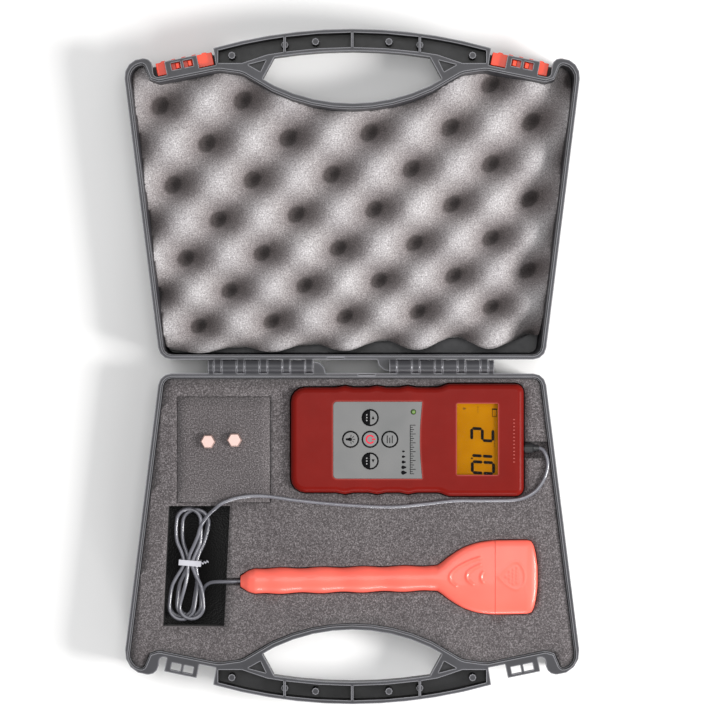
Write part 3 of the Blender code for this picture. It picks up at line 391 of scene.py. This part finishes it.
indicator_green = plastic("indicator_green", srgb(62, 96, 30), srgb(96, 130, 44), 0.2, blotch=900.0)
# The base foam's pockets get painted shade, darker towards their floors.
base_foam_look = foam_look(
    "base_foam_cells",
    ((0.3, srgb(40, 37, 38)), (0.5, srgb(86, 81, 82)), (0.72, srgb(158, 153, 155))),
    (14.0, 33.6, ((0.0, (0.03, 0.03, 0.03, 1.0)), (0.5, (0.1, 0.1, 0.1, 1.0)), (0.73, WHITE))),
)
# Painted shade: the egg crate's pits darker, its peaks lighter.
lid_foam_depth = (
    (0.0, (0.07, 0.06, 0.058, 1.0)),
    (0.22, (0.14, 0.12, 0.117, 1.0)),
    (0.32, (0.42, 0.385, 0.38, 1.0)),
    (0.62, (0.64, 0.615, 0.61, 1.0)),
    (0.97, (0.98, 0.98, 0.985, 1.0)),
)
# Painted light and shade: lighter on slopes facing +X, darker on slopes facing away.
lid_foam_side_light = ((0.0, (0.3, 0.265, 0.26, 1.0)), (0.45, (0.8, 0.79, 0.79, 1.0)), (0.75, WHITE))
lid_foam_look = foam_look(
    "lid_foam_cells",
    ((0.3, srgb(124, 121, 122)), (0.5, srgb(188, 185, 186)), (0.72, srgb(250, 249, 250))),
    (9.0, 25.0, lid_foam_depth),
    ((0.95, 0.25, 0.0), lid_foam_side_light),
)
steel = metal("steel", srgb(176, 176, 180), 0.32)
pin_metal = metal("pin_metal", srgb(226, 196, 188), 0.42, 1500.0)
lens_clear = clear_lens("lens_clear")
amber_panel = display_amber("amber_panel")
black_ink = printed("black_ink", srgb(14, 14, 16))
red_ink = printed("red_ink", srgb(226, 48, 72))
grey_ink = printed("grey_ink", srgb(158, 158, 158))
dim_ink = printed("dim_ink", srgb(128, 84, 16))


# ---------------------------------------------------------------- cable

HANK_CENTRE = (-111.0, -134.5)
HANK_LEAN = math.radians(4.5)
HANK_START = (5.6, 26.0, 27.6)
WAIST_REACH = 11.0
TURN_DROP = 0.3

# From the meter's plug across the foam to the pocket, then from the pocket to the probe
RUN = [
    (126.4, -55.5, 33.0),
    (128.5, -55.9, 33.3),
    (130.4, -57.6, 34.4),
    (132.6, -62.6, 35.2),
    (132.8, -69.5, 35.2),
    (129.6, -78.4, 35.2),
    (123.2, -86.0, 35.2),
    (112.0, -90.6, 35.2),
    (92.0, -91.3, 35.2),
    (70.0, -91.4, 35.2),
    (50.0, -93.6, 35.2),
    (27.0, -95.6, 35.2),
    (-4.0, -94.3, 35.2),
    (-36.0, -91.3, 35.2),
    (-60.0, -88.2, 35.6),
    (-76.0, -89.0, 35.6),
    (-88.0, -92.8, 35.6),
    (-93.0, -96.6, 35.2),
    (-98.5, -101.8, 32.0),
]
TAIL = [
    (-102.7, -156.5, 18.0),
    (-101.3, -151.4, 20.6),
    (-97.6, -148.2, 24.0),
    (-92.0, -147.0, 28.2),
    (-84.5, -146.8, 31.0),
    (-76.6, -146.5, 31.0),
    (-74.0, -146.4, 31.0),
]

# The hank's turns, each (radius, middle across, middle along, z), from the top of the hank down
BOTTOM_TURNS = (
    (8.2, 3.4, -29.8, 24.1),
    (8.6, -3.4, -30.6, 21.9),
    (8.2, 1.2, -29.0, 19.7),
    (8.0, -4.0, -29.6, 17.5),
    (8.4, 1.6, -28.0, 15.3),
)
TOP_TURNS = (
    (8.3, -3.2, 28.4, 23.0),
    (9.0, 1.6, 27.6, 20.8),
    (8.2, -3.6, 29.0, 18.6),
    (8.6, 0.8, 27.2, 16.4),
)

# Where each pass goes through the tie: (across, z)
WAIST = (
    (-1.4, 24.0),
    (1.4, 24.0),
    (-4.2, 22.8),
    (4.2, 22.8),
    (-1.4, 21.3),
    (1.4, 21.3),
    (-4.2, 20.1),
    (4.2, 20.1),
    (-1.4, 18.6),
)


def hank_point(across, along, z):
    """A point of the hank's own frame, which leans a little to the right at its top."""
    c, s = math.cos(HANK_LEAN), math.sin(HANK_LEAN)
    return HANK_CENTRE[0] + across * c + along * s, HANK_CENTRE[1] - across * s + along * c, z


def strand(start, end, waist):
    """One pass through the tie, from start to end, drawn in to the waist's place on the way."""
    points = []
    for k in range(1, 8):
        across, along, z = Vector(start).lerp(Vector(end), k / 8)
        pull = math.exp(-((along / WAIST_REACH) ** 2))
        points.append((across + (waist[0] - across) * pull, along, z + (waist[1] - z) * pull))
    return points


def half_turn(radius, centre, along, z, side):
    """A half circle at one end of the hank; side is 1 at its top and -1 at its bottom."""
    points = []
    for k in range(13):
        t = k / 12
        across = centre + side * radius * math.cos(math.pi * t)
        out = along + side * radius * math.sin(math.pi * t)
        points.append((across, out, z + TURN_DROP * (1 - 2 * t)))
    return points


def hank_route():
    """Four and a half turns of the cable, each from the top down through the tie and back."""
    route = [HANK_START]
    for k, bottom in enumerate(BOTTOM_TURNS):
        low = half_turn(*bottom, -1.0)
        route += strand(route[-1], low[0], WAIST[2 * k]) + low
        if k < len(TOP_TURNS):
            high = half_turn(*TOP_TURNS[k], 1.0)
            route += strand(route[-1], high[0], WAIST[2 * k + 1]) + high
    return [hank_point(*p) for p in route]


def tie_twist():
    """The two twisted ends of the wire tie."""
    start = Vector(hank_point(8.0, 0.4, 25.0))
    end = Vector((4.5, 1.6, 1.0))
    points = []
    for k in range(25):
        t = k / 24
        angle = TURN * 2.5 * t
        points.append(start + end * t + Vector((0.0, math.cos(angle), math.sin(angle))) * 0.6)
    twist = tube("tie_twist", points, 0.42, "instrument", tie_nylon)
    return twist


cable_points = smooth_path(RUN + hank_route() + TAIL, 2.2)
cable = tube("cable", cable_points, CABLE_RADIUS, "instrument", cable_rubber)
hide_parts("cable_run", "cable_hank", "cable_tail")
tie_twist()


# ---------------------------------------------------------------- CAD pieces that stay

KEY_KINDS = ("power", "lamp", "function", "up", "down")
CAD_LOOKS = {
    case_plastic: ["base_shell", "lid_shell"],
    steel: [
        *(f"{part}_{side}" for part in ("hinge_pin", "contact_plate") for side in ("left", "right")),
        *(f"case_screw_{k}" for k in range(1, 5)),
        "probe_sensor_plate",
    ],
    pin_metal: ["contact_pin_1", "contact_pin_2"],
    latch_plastic: ["latch_left", "latch_right"],
    meter_plastic: ["meter_front_shell", "meter_back_shell", "battery_cover"],
    label_film: ["keypad_overlay"],
    key_film: [f"key_{kind}" for kind in KEY_KINDS],
    black_plastic: ["probe_socket", "probe_plug", *(f"switch_{kind}" for kind in KEY_KINDS)],
    lens_clear: ["lcd_lens"],
    amber_panel: ["lcd_panel"],
    white_guide: ["backlight_panel"],
    circuit_board: ["main_board", "probe_board"],
    battery_wrap: [f"battery_{k}" for k in range(1, 5)],
    indicator_green: ["status_led"],
    cable_rubber: ["probe_cable_bush"],
    tie_nylon: ["cable_tie"],
}
SOFT_EDGED = ("base_shell", "lid_shell", "meter_front_shell", "latch_left", "latch_right")


def soften_edges(node):
    """Small round edges on a moulded CAD node, with its flat faces kept evenly shaded."""
    weld = node.modifiers.new("weld", "WELD")
    weld.merge_threshold = 0.002 * MM
    flat = node.modifiers.new("flat", "DECIMATE")
    flat.decimate_type = "DISSOLVE"
    flat.angle_limit = math.radians(1.0)
    round_edge = node.modifiers.new("round_edge", "BEVEL")
    round_edge.width = 0.45 * MM
    round_edge.segments = 2
    round_edge.limit_method = "ANGLE"
    round_edge.angle_limit = math.radians(40)
    even = node.modifiers.new("even", "WEIGHTED_NORMAL")
    even.keep_sharp = True


for look, names in CAD_LOOKS.items():
    for name in names:
        nodes[name].data.materials.clear()
        nodes[name].data.materials.append(look)
for name in SOFT_EDGED:
    soften_edges(nodes[name])
for node in nodes.values():
    node.data.shade_smooth()
    node.data.set_sharp_from_angle(angle=math.radians(32))


# ---------------------------------------------------------------- foams

# The egg crate's waves: their length across the lid, and their rows, which tilt and widen away from the hinge
WAVE_LENGTH = 49.65
WAVE_START = -5.2
ROW_WAVE_GROWTH = 1.08
ROW_SHIFT = -2.2
ROW_TILT = 0.066
FIRST_ROW_Y = 34.3
ROW_PITCH = 22.4
ROW_PITCH_GROWTH = 0.47
PEAK_FULLNESS = 0.62
PIT_Z = 9.3
PEAK_DROP = 0.4
CRATE_STEP = 2.2
# The pattern is laid out at the rim's level, seen from above, and its pits lie deeper
PATTERN_CENTRE = (5.3, 4.4)
PATTERN_SHARE = 0.987
# The wavy edge at the hinge, and how far into the foam its waves reach
EDGE_Y = 10.6
EDGE_TILT = 0.014
EDGE_WAVE = 3.3
EDGE_WAVE_GROWTH = 0.015
EDGE_REACH = 26.0

SAME_LEVEL = 1e-5
FLAT_STEP = 7.0
FOAM_EDGE_RADIUS = 0.45
FOAM_UNEVENNESS = 0.12


def copied(node):
    """A copy of a CAD node's mesh as a welded bmesh."""
    grid = bmesh.new()
    grid.from_mesh(nodes[node].data)
    bmesh.ops.remove_doubles(grid, verts=grid.verts, dist=1e-6)
    bmesh.ops.dissolve_limit(grid, angle_limit=math.radians(1.0), verts=grid.verts, edges=grid.edges)
    return grid


def level_with(part, top):
    """True if every corner of a face or edge lies at the top level, in metres."""
    return all(abs(v.co.z - top) < SAME_LEVEL for v in part.verts)


def slice_top(grid, step, low, high):
    """Cuts the top faces into a grid of squares."""
    for axis in (0, 1):
        normal = Vector((0.0, 0.0, 0.0))
        normal[axis] = 1.0
        for k in range(1, int((high[axis] - low[axis]) / (step * MM))):
            place = Vector((0.0, 0.0, 0.0))
            place[axis] = low[axis] + k * step * MM
            faces = [f for f in grid.faces if level_with(f, high.z)]
            edges = {e for f in faces for e in f.edges}
            corners = {v for f in faces for v in f.verts}
            geometry = [*faces, *edges, *corners]
            bmesh.ops.bisect_plane(grid, geom=geometry, plane_co=place, plane_no=normal, dist=1e-6)


def foam_piece(name, grid, body, look, node):
    """The finished foam, standing for its CAD node."""
    mesh = bpy.data.meshes.new(name)
    grid.to_mesh(mesh)
    grid.free()
    mesh.materials.append(look)
    mesh.shade_smooth()
    mesh.set_sharp_from_angle(angle=math.radians(48))
    piece = new_piece(name, mesh, body)
    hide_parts(node)


def crate_height(x, y):
    """0 in a pit and 1 on a peak of the egg crate pattern."""
    rise = y - ROW_TILT * x - FIRST_ROW_Y
    root = math.sqrt(max(0.0, ROW_PITCH**2 + 4 * ROW_PITCH_GROWTH * rise))
    row = (root - ROW_PITCH) / (2 * ROW_PITCH_GROWTH)
    phase = TURN * (x - WAVE_START - ROW_SHIFT * row) / (WAVE_LENGTH + ROW_WAVE_GROWTH * row)
    height = 0.5 - 0.5 * math.cos(phase) * math.cos(math.pi * row)
    height -= 0.13 * math.sin(phase) * math.sin(math.pi * row)
    return min(1.0, max(0.0, height)) ** PEAK_FULLNESS


def hinge_edge(x):
    """Where the lid foam's wavy edge runs, in mm from the hinge line."""
    wave = 1 - math.cos(TURN * (x - WAVE_START) / WAVE_LENGTH)
    return EDGE_Y + EDGE_TILT * x + (EDGE_WAVE + EDGE_WAVE_GROWTH * x) * wave


def lid_foam():
    """Egg crate foam: the CAD block's top turned into waves, and its hinge side into a wavy edge."""
    low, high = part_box("lid_foam")
    top, start = high.z / MM, low.y / MM
    grid = copied("lid_foam")
    slice_top(grid, CRATE_STEP, low, high)
    for vertex in grid.verts:
        x, y, z = (c / MM for c in vertex.co)
        y += (hinge_edge(x) - start) * max(0.0, 1 - (y - start) / EDGE_REACH)
        if z > top - 0.05:
            seen_x, seen_y = (c + (p - c) * PATTERN_SHARE for c, p in zip(PATTERN_CENTRE, (x, y)))
            grain = noise.noise(Vector((x, y, 0.0)) * 0.35) * 0.35
            z = PIT_Z + (top - PEAK_DROP - PIT_Z) * crate_height(seen_x, seen_y) + grain
        vertex.co = Vector((x, y, z)) * MM
    foam_piece("egg_crate_foam", grid, "lid", lid_foam_look, "lid_foam")


def flat_foam(node, name):
    """Cut foam with slightly soft top edges and a faintly uneven top."""
    low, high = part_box(node)
    grid = copied(node)
    rims = [e for e in grid.edges if level_with(e, high.z) and e.calc_face_angle(0.0) > 0.8]
    bmesh.ops.bevel(
        grid, geom=rims, offset=FOAM_EDGE_RADIUS * MM, segments=2, affect="EDGES", clamp_overlap=True
    )
    slice_top(grid, FLAT_STEP, low, high)
    for vertex in grid.verts:
        if vertex.co.z > high.z - SAME_LEVEL:
            vertex.co.z -= FOAM_UNEVENNESS * (1 + noise.noise(vertex.co * 60.0)) * MM
    foam_piece(name, grid, "case_base", base_foam_look, node)


lid_foam()
flat_foam("base_foam", "cut_foam")
flat_foam("foam_plug", "plug_foam")


# ---------------------------------------------------------------- probe

# Stations (x, half width, half height) of the tail and head; the grip between them is a rippled round bar
PROBE_TAIL = ((-76.0, 3.9, 3.9), (-74.0, 5.2, 5.0), (-70.5, 7.4, 7.0), (-66.2, 8.6, 8.2))
PROBE_HEAD = (
    (57.7, 8.7, 8.2),
    (60.4, 10.4, 8.1),
    (65.0, 14.0, 7.9),
    (71.0, 18.0, 7.5),
    (77.0, 21.2, 7.2),
    (87.4, 24.2, 7.0),
    (98.3, 25.3, 7.0),
    (118.0, 25.2, 7.0),
    (121.4, 24.4, 6.7),
    (123.2, 22.0, 6.3),
    (124.8, 16.5, 5.7),
    (126.0, 8.0, 4.6),
)
PROBE_Z = 31.0
GRIP_START, GRIP_END = PROBE_TAIL[-1][0], PROBE_HEAD[0][0]
GRIP_HALF_WIDTH, GRIP_HALF_HEIGHT = 8.6, 8.2
RIPPLE, RIPPLE_LENGTH, RIPPLE_PEAK_X = 0.42, 27.8, -48.6
GRIP_SQUARENESS, HEAD_SQUARENESS = 2.2, 4.8
SEAM_HALF_GAP = 0.15

# Raised lines on the head as (height, points): two waves, a short bar and a drop, and dots inside the drop
RIDGES = (
    (
        0.8,
        (
            (86.4, -129.9),
            (80.5, -131.9),
            (73.5, -135.2),
            (68.6, -138.8),
            (66.3, -142.1),
            (67.0, -146.0),
            (70.7, -149.2),
        ),
    ),
    (0.75, ((86.9, -134.6), (82.0, -136.9), (78.6, -139.6), (77.6, -142.1), (78.6, -145.2), (82.0, -148.0))),
    (0.7, ((88.7, -139.9), (87.7, -141.6), (87.7, -144.6), (88.9, -146.5))),
    (
        0.35,
        (
            (99.1, -142.7),
            (104.0, -137.2),
            (108.6, -133.2),
            (112.6, -133.0),
            (116.2, -137.4),
            (117.3, -142.7),
            (115.9, -148.2),
            (112.2, -151.3),
            (107.8, -150.2),
            (103.0, -146.6),
            (99.1, -142.7),
        ),
    ),
)
RIDGE_WIDTH = 0.8
DOT_SPACING = 2.4
DOT_HEIGHT, DOT_WIDTH = 0.5, 0.75


def drop_dots():
    """Staggered dots in columns that get taller to the right, inside the raised drop."""
    dots = []
    for i in range(4):
        for j in range(-2, 3):
            across = DOT_SPACING * (j + 0.5 * (i % 2))
            if abs(across) < 2.2 + 1.6 * i:
                dots.append((104.6 + DOT_SPACING * i, -142.7 + across))
    return np.array(dots)


def smooth_table(table, x):
    """Monotone cubic reading of (x, a, b) rows."""
    xs = [row[0] for row in table]
    k = min(max(int(np.searchsorted(xs, x)) - 1, 0), len(xs) - 2)
    h = xs[k + 1] - xs[k]
    t = min(max((x - xs[k]) / h, 0.0), 1.0)
    values = []
    for column in (1, 2):
        ys = [row[column] for row in table]
        slopes = [(ys[i + 1] - ys[i]) / (xs[i + 1] - xs[i]) for i in range(len(xs) - 1)]
        slopes = [slopes[0], *slopes, slopes[-1]]
        sides = ((slopes[k], slopes[k + 1]), (slopes[k + 1], slopes[k + 2]))
        tangents = [2 * a * b / (a + b) * h if a * b > 0 else 0.0 for a, b in sides]
        value = (2 * t**3 - 3 * t**2 + 1) * ys[k] + (t**3 - 2 * t**2 + t) * tangents[0]
        values.append(value + (3 * t**2 - 2 * t**3) * ys[k + 1] + (t**3 - t**2) * tangents[1])
    return values


def probe_size(x):
    """(half width, half height, squareness) of the probe at x."""
    if GRIP_START < x < GRIP_END:
        wave = RIPPLE * math.cos(TURN * (x - RIPPLE_PEAK_X) / RIPPLE_LENGTH)
        wave *= min(1.0, (x - GRIP_START) / 8.0, (GRIP_END - x) / 8.0)
        return GRIP_HALF_WIDTH + wave, GRIP_HALF_HEIGHT + wave, GRIP_SQUARENESS
    half_width, half_height = smooth_table(PROBE_TAIL if x <= GRIP_START else PROBE_HEAD, x)
    share = 0.0 if x < 0 else min(1.0, (x - GRIP_END) / 30.0)
    return half_width, half_height, GRIP_SQUARENESS + (HEAD_SQUARENESS - GRIP_SQUARENESS) * share


def probe_centre(x):
    """The probe lies at a slight angle in its recess."""
    return -145.2 + 0.0165 * x


ridge_lines = []
for ridge_height, corners in RIDGES:
    line = smooth_path([(*corner, 0.0) for corner in corners], 0.5)
    ridge_lines.append((ridge_height, np.array([p[:2] for p in line])))
dot_places = drop_dots()


def nearest(places, x, y):
    """How far the nearest of the places is."""
    return np.min(np.hypot(*(places - np.array((x, y))).T))


def relief(x, y):
    """Height of the raised marks at a point of the head."""
    heights = [DOT_HEIGHT * math.exp(-((nearest(dot_places, x, y) / DOT_WIDTH) ** 2))]
    for height, line in ridge_lines:
        heights.append(height * math.exp(-((nearest(line, x, y) / RIDGE_WIDTH) ** 2)))
    return max(heights)


def probe_ring(x, count, side):
    """The points round the probe at x, as in probe_loft."""
    half_width, half_height, square = probe_size(x)
    centre = probe_centre(x)
    points = []
    for k in range(count + (1 if side else 0)):
        angle = (math.pi if side else TURN) * k / count
        across = math.cos(angle)
        bulge = max(0.0, 1 - abs(across) ** square) ** (1 / square)
        y = centre + half_width * across
        z = half_height * math.copysign(bulge, math.sin(angle))
        if side:
            z = side * max(z, SEAM_HALF_GAP)
        on_head_top = z > 3.0 and x > 62.0 and abs(y - centre) < half_width - 3.0
        points.append((x, y, PROBE_Z + z + (relief(x, y) if on_head_top else 0.0)))
    return points


def probe_loft(name, stops, side, node, count):
    """The probe along (x, step) stops: side is 1 for the top shell, -1 for the bottom one and 0 for both."""
    xs = [stops[0][0]]
    for (start, step), (end, _) in zip(stops, stops[1:]):
        rows = round((end - start) / step)
        xs += [start + (end - start) * (k + 1) / rows for k in range(rows)]
    points = [point for x in xs for point in probe_ring(x, count, side)]
    ring = count + 1 if side else count
    faces = [tuple(range(ring))[::-1], tuple((len(xs) - 1) * ring + k for k in range(ring))]
    for i in range(len(xs) - 1):
        for k in range(ring):
            a, b = i * ring + k, i * ring + (k + 1) % ring
            faces.append((a, b, b + ring, a + ring))
    piece = mesh_piece(name, points, faces, "instrument", probe_plastic, smooth=50)
    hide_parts(node)


probe_loft("probe_top", ((-76.0, 0.8), (-66.0, 2.0), (58.0, 0.6), (97.0, 0.0)), 1.0, "probe_top_shell", 120)
probe_loft("probe_bottom", ((-76.0, 1.0), (-66.0, 2.6), (97.0, 0.0)), -1.0, "probe_bottom_shell", 40)
probe_loft("probe_cap", ((97.3, 0.6), (121.0, 0.4), (126.0, 0.0)), 0.0, "probe_sensor_cap", 200)


# ---------------------------------------------------------------- printed shapes

PRINT_LIFT = 0.03


def print_piece(name, shapes, z, look, body, depth=0.05):
    """Flat printed outlines as thin closed solids, standing on level z."""
    points, faces = [], []
    for shape in shapes:
        start, count = len(points), len(shape)
        points += [(x, y, level) for level in (z, z + depth) for x, y in shape]
        faces.append(tuple(start + k for k in range(count))[::-1])
        faces.append(tuple(start + count + k for k in range(count)))
        for k in range(count):
            a, b = start + k, start + (k + 1) % count
            faces.append((a, b, b + count, a + count))
    mesh_piece(name, points, faces, body, look)


def arc(x, y, radius, start, end, count):
    angles = [start + (end - start) * k / (count - 1) for k in range(count)]
    return [(x + radius * math.cos(a), y + radius * math.sin(a)) for a in angles]


def disc(x, y, radius, count=32):
    return arc(x, y, radius, 0.0, TURN, count + 1)[:-1]


def arc_band(x, y, inner, outer, start, end, count=28):
    """A part of a flat ring."""
    return arc(x, y, outer, start, end, count) + arc(x, y, inner, end, start, count)


def bar(x0, y0, x1, y1, width):
    """A straight stroke between two points."""
    along = Vector((x1 - x0, y1 - y0)).normalized()
    side = Vector((-along.y, along.x)) * width / 2
    a, b = Vector((x0, y0)), Vector((x1, y1))
    return [tuple(a - side), tuple(b - side), tuple(b + side), tuple(a + side)]


def drop(x, y, size):
    """A water drop lying with its point to the display."""
    outline = []
    for k in range(24):
        angle = TURN * k / 24
        point = max(0.0, math.cos(angle))
        radius = size * (1.0 + 0.75 * point**6)
        outline.append((x + radius * math.cos(angle), y + radius * math.sin(angle) * (1 - 0.25 * point)))
    return outline


# ---------------------------------------------------------------- prints on the keys and label

KEY_FACE_Z = top_of("key_power") + PRINT_LIFT
LABEL_FACE_Z = top_of("keypad_overlay") + PRINT_LIFT
# The ring round a key follows the key's rounded edge: (radius, z)
KEY_RING = ((5.52, 40.62), (5.0, 40.99), (4.75, 41.03))
RING_CORNERS = 48


def key_ring(key):
    """The black ring round a key."""
    points, faces = [], []
    for radius, z in KEY_RING:
        points += [(x, y, z) for x, y in disc(*centre_of(key), radius, RING_CORNERS)]
    for row in range(len(KEY_RING) - 1):
        for k in range(RING_CORNERS):
            a, b = row * RING_CORNERS + k, row * RING_CORNERS + (k + 1) % RING_CORNERS
            faces.append((a, b, b + RING_CORNERS, a + RING_CORNERS))
    ring = mesh_piece(f"{key}_ring", points, faces, key, black_ink, smooth=60)
    ring.modifiers.new("thickness", "SOLIDIFY").thickness = 0.05 * MM


def power_mark():
    """A broken ring with a bar through the gap."""
    x, y = centre_of("key_power")
    gap = 0.55
    shapes = [arc_band(x, y, 2.1, 3.05, gap, TURN - gap), bar(x + 1.2, y, x + 3.5, y, 0.95)]
    print_piece("power_mark", shapes, KEY_FACE_Z, red_ink, "key_power")


def lamp_mark():
    """A bulb with its socket and five rays."""
    x, y = centre_of("key_lamp")
    x -= 0.2
    socket = [(x - 3.0, y - 0.65), (x - 0.7, y - 0.85), (x - 0.7, y + 0.85), (x - 3.0, y + 0.65)]
    shapes = [disc(x, y, 1.25), socket]
    for degrees in (-78, -39, 0, 39, 78):
        c, s = math.cos(math.radians(degrees)), math.sin(math.radians(degrees))
        shapes.append(bar(x + 1.75 * c, y + 1.75 * s, x + 3.2 * c, y + 3.2 * s, 0.42))
    print_piece("lamp_mark", shapes, KEY_FACE_Z, black_ink, "key_lamp")


def function_mark():
    """Three bars, like a menu."""
    x, y = centre_of("key_function")
    shapes = []
    for k, length in enumerate((5.2, 3.8, 5.2)):
        bar_x = x + 1.7 - 1.7 * k
        shapes.append(bar(bar_x, y - 2.6, bar_x, y - 2.6 + length, 0.55))
    print_piece("function_mark", shapes, KEY_FACE_Z, black_ink, "key_function")


def arrow_key(key, direction):
    """A dark half with three dots, and an arrow on the pale half."""
    x, y = centre_of(key)
    half = arc(x, y, 4.75, math.pi / 2, 3 * math.pi / 2, 25)
    print_piece(f"{key}_half", [half], KEY_FACE_Z - 0.12, black_ink, key, 0.12)
    tip = 1.1 * direction
    arrow = [(x + 1.0, y - tip), (x + 3.0, y - tip), (x + 2.0, y + tip)]
    print_piece(f"{key}_arrow", [arrow], KEY_FACE_Z, black_ink, key)
    dots = [disc(x - 2.3, y + offset, 0.5, 14) for offset in (-1.9, 0.0, 1.9)]
    print_piece(f"{key}_dots", dots, KEY_FACE_Z + 0.01, grey_ink, key)


def moisture_scale():
    """A graduated scale along the label's right edge, with drops that grow along it."""
    marks = []
    for k in range(23):
        y = -39.8 - 1.5 * k
        reach = 3.4 if k % 4 == 0 else (2.4 if k % 2 == 0 else 1.5)
        marks.append(bar(39.6, y, 39.6 + reach, y, 0.42))
    marks.append(bar(39.4, -39.6, 39.4, -73.0, 0.4))
    drops = [drop(34.6, -57.6 - 3.6 * k, 0.7 + 0.18 * k) for k in range(5)]
    print_piece("moisture_scale", marks, LABEL_FACE_Z, black_ink, "instrument")
    print_piece("moisture_drops", drops, LABEL_FACE_Z, black_ink, "instrument")


for key_kind in KEY_KINDS:
    key_ring(f"key_{key_kind}")
power_mark()
lamp_mark()
function_mark()
arrow_key("key_up", 1.0)
arrow_key("key_down", -1.0)
moisture_scale()


# ---------------------------------------------------------------- display

SEGMENT_Z = top_of("lcd_panel") + 0.02
SEGMENT_DEPTH = 0.08
DIGIT_HEIGHT = 14.4
DIGIT_SLANT = 0.06
SEGMENT_HALF_WIDTH, SEGMENT_TIP = 1.0, 0.8
SEGMENTS = {"2": "abged", "0": "abcdef", "1": "bc"}


def digit(symbol, x_low, y_left, width):
    """Seven-segment strokes, read with +X up and -Y to the right, leaning slightly."""
    half = DIGIT_HEIGHT / 2
    strokes = {
        "a": ((0.0, DIGIT_HEIGHT), (width, DIGIT_HEIGHT)),
        "b": ((width, DIGIT_HEIGHT), (width, half)),
        "c": ((width, half), (width, 0.0)),
        "d": ((0.0, 0.0), (width, 0.0)),
        "e": ((0.0, half), (0.0, 0.0)),
        "f": ((0.0, DIGIT_HEIGHT), (0.0, half)),
        "g": ((0.0, half), (width, half)),
    }
    shapes = []
    for segment in SEGMENTS[symbol]:
        start, end = (Vector(p) for p in strokes[segment])
        along = (end - start).normalized()
        side = Vector((-along.y, along.x)) * SEGMENT_HALF_WIDTH
        start += along * SEGMENT_HALF_WIDTH
        end -= along * SEGMENT_HALF_WIDTH
        tip = along * SEGMENT_TIP
        outline = [start - tip, start + side, end + side, end + tip, end - side, start - side]
        shapes.append([(x_low + p.y, y_left - p.x - DIGIT_SLANT * p.y) for p in outline])
    return shapes


def display_prints():
    """The reading, a battery sign and a few dim segments at the display's edges."""
    reading = digit("2", 81.2, -42.0, 7.8) + digit("1", 81.2, -52.6, 7.8) + digit("0", 81.6, -64.6, 7.4)
    reading.append(disc(81.3, -62.4, 0.65, 12))
    battery = [
        bar(95.2, -29.4, 95.2, -34.0, 0.35),
        bar(98.0, -29.4, 98.0, -34.0, 0.35),
        bar(95.2, -34.0, 98.0, -34.0, 0.35),
        bar(94.9, -29.0, 98.3, -29.0, 0.9),
    ]
    faint = [bar(85.4, -27.2 - 1.6 * k, 85.4, -28.2 - 1.6 * k, 0.55) for k in range(3)]
    faint += [bar(96.6, -49.6 - 2.0 * k, 96.6, -50.8 - 2.0 * k, 0.7) for k in range(3)]
    faint.append(drop(76.0, -28.6, 0.85))
    for name, shapes, ink in (
        ("reading", reading, black_ink),
        ("battery_icon", battery, black_ink),
        ("faint_marks", faint, dim_ink),
    ):
        print_piece(name, shapes, SEGMENT_Z, ink, "instrument", SEGMENT_DEPTH)


def grip_ribs():
    """A row of small ribs across the head, beyond the display."""
    ribs = [bar(109.2, -36.0 - 2.4 * k, 110.4, -36.0 - 2.4 * k, 0.7) for k in range(13)]
    rib_foot = top_of("meter_front_shell") - 0.02
    print_piece("grip_ribs", ribs, rib_foot, meter_plastic, "instrument", 0.3)


display_prints()
grip_ribs()


# ---------------------------------------------------------------- studio, in metres

WORLD_STRENGTH = 0.42
FLOOR_HALF = 3.0
FLOOR_Z = -0.0006


def area_light(name, place, size, power, colour=(1.0, 1.0, 1.0)):
    lamp = bpy.data.objects.new(name, bpy.data.lights.new(name, "AREA"))
    lamp.data.shape = "SQUARE"
    lamp.data.size = size
    lamp.data.energy = power
    lamp.data.color = colour
    lamp.location = place
    lamp.rotation_euler = (-Vector(place)).to_track_quat("-Z", "Y").to_euler()
    bpy.context.scene.collection.objects.link(lamp)


def studio_world():
    """Even white light from everywhere."""
    world = bpy.data.worlds.new("studio")
    world.use_nodes = True
    background = world.node_tree.nodes["Background"]
    background.inputs["Color"].default_value = WHITE
    background.inputs["Strength"].default_value = WORLD_STRENGTH
    bpy.context.scene.world = world
    bpy.context.scene.view_settings.view_transform = "Standard"


def studio_floor():
    mesh = bpy.data.meshes.new("floor")
    corners = ((-1, -1), (1, -1), (1, 1), (-1, 1))
    mesh.from_pydata([(x * FLOOR_HALF, y * FLOOR_HALF, FLOOR_Z) for x, y in corners], [], [(0, 1, 2, 3)])
    look = Look("floor_paper", (0.93, 0.93, 0.93, 1.0), 0.9)
    look.colour(look.ramp(look.noise(4.0, 2.0), ((0.3, dimmed(WHITE, 0.92)), (0.7, dimmed(WHITE, 0.95)))))
    mesh.materials.append(look.material)
    floor = bpy.data.objects.new("floor", mesh)
    bpy.context.scene.collection.objects.link(floor)


area_light("key_light", (1.35, -0.35, 1.05), 0.5, 30.0, (1.0, 0.985, 0.97))
area_light("edge_light", (0.15, -1.4, 0.42), 0.4, 7.0)
area_light("fill_light", (-0.8, 0.9, 1.5), 1.0, 4.0)
area_light("top_light", (0.05, 0.25, 2.3), 1.1, 14.0)
studio_world()
studio_floor()
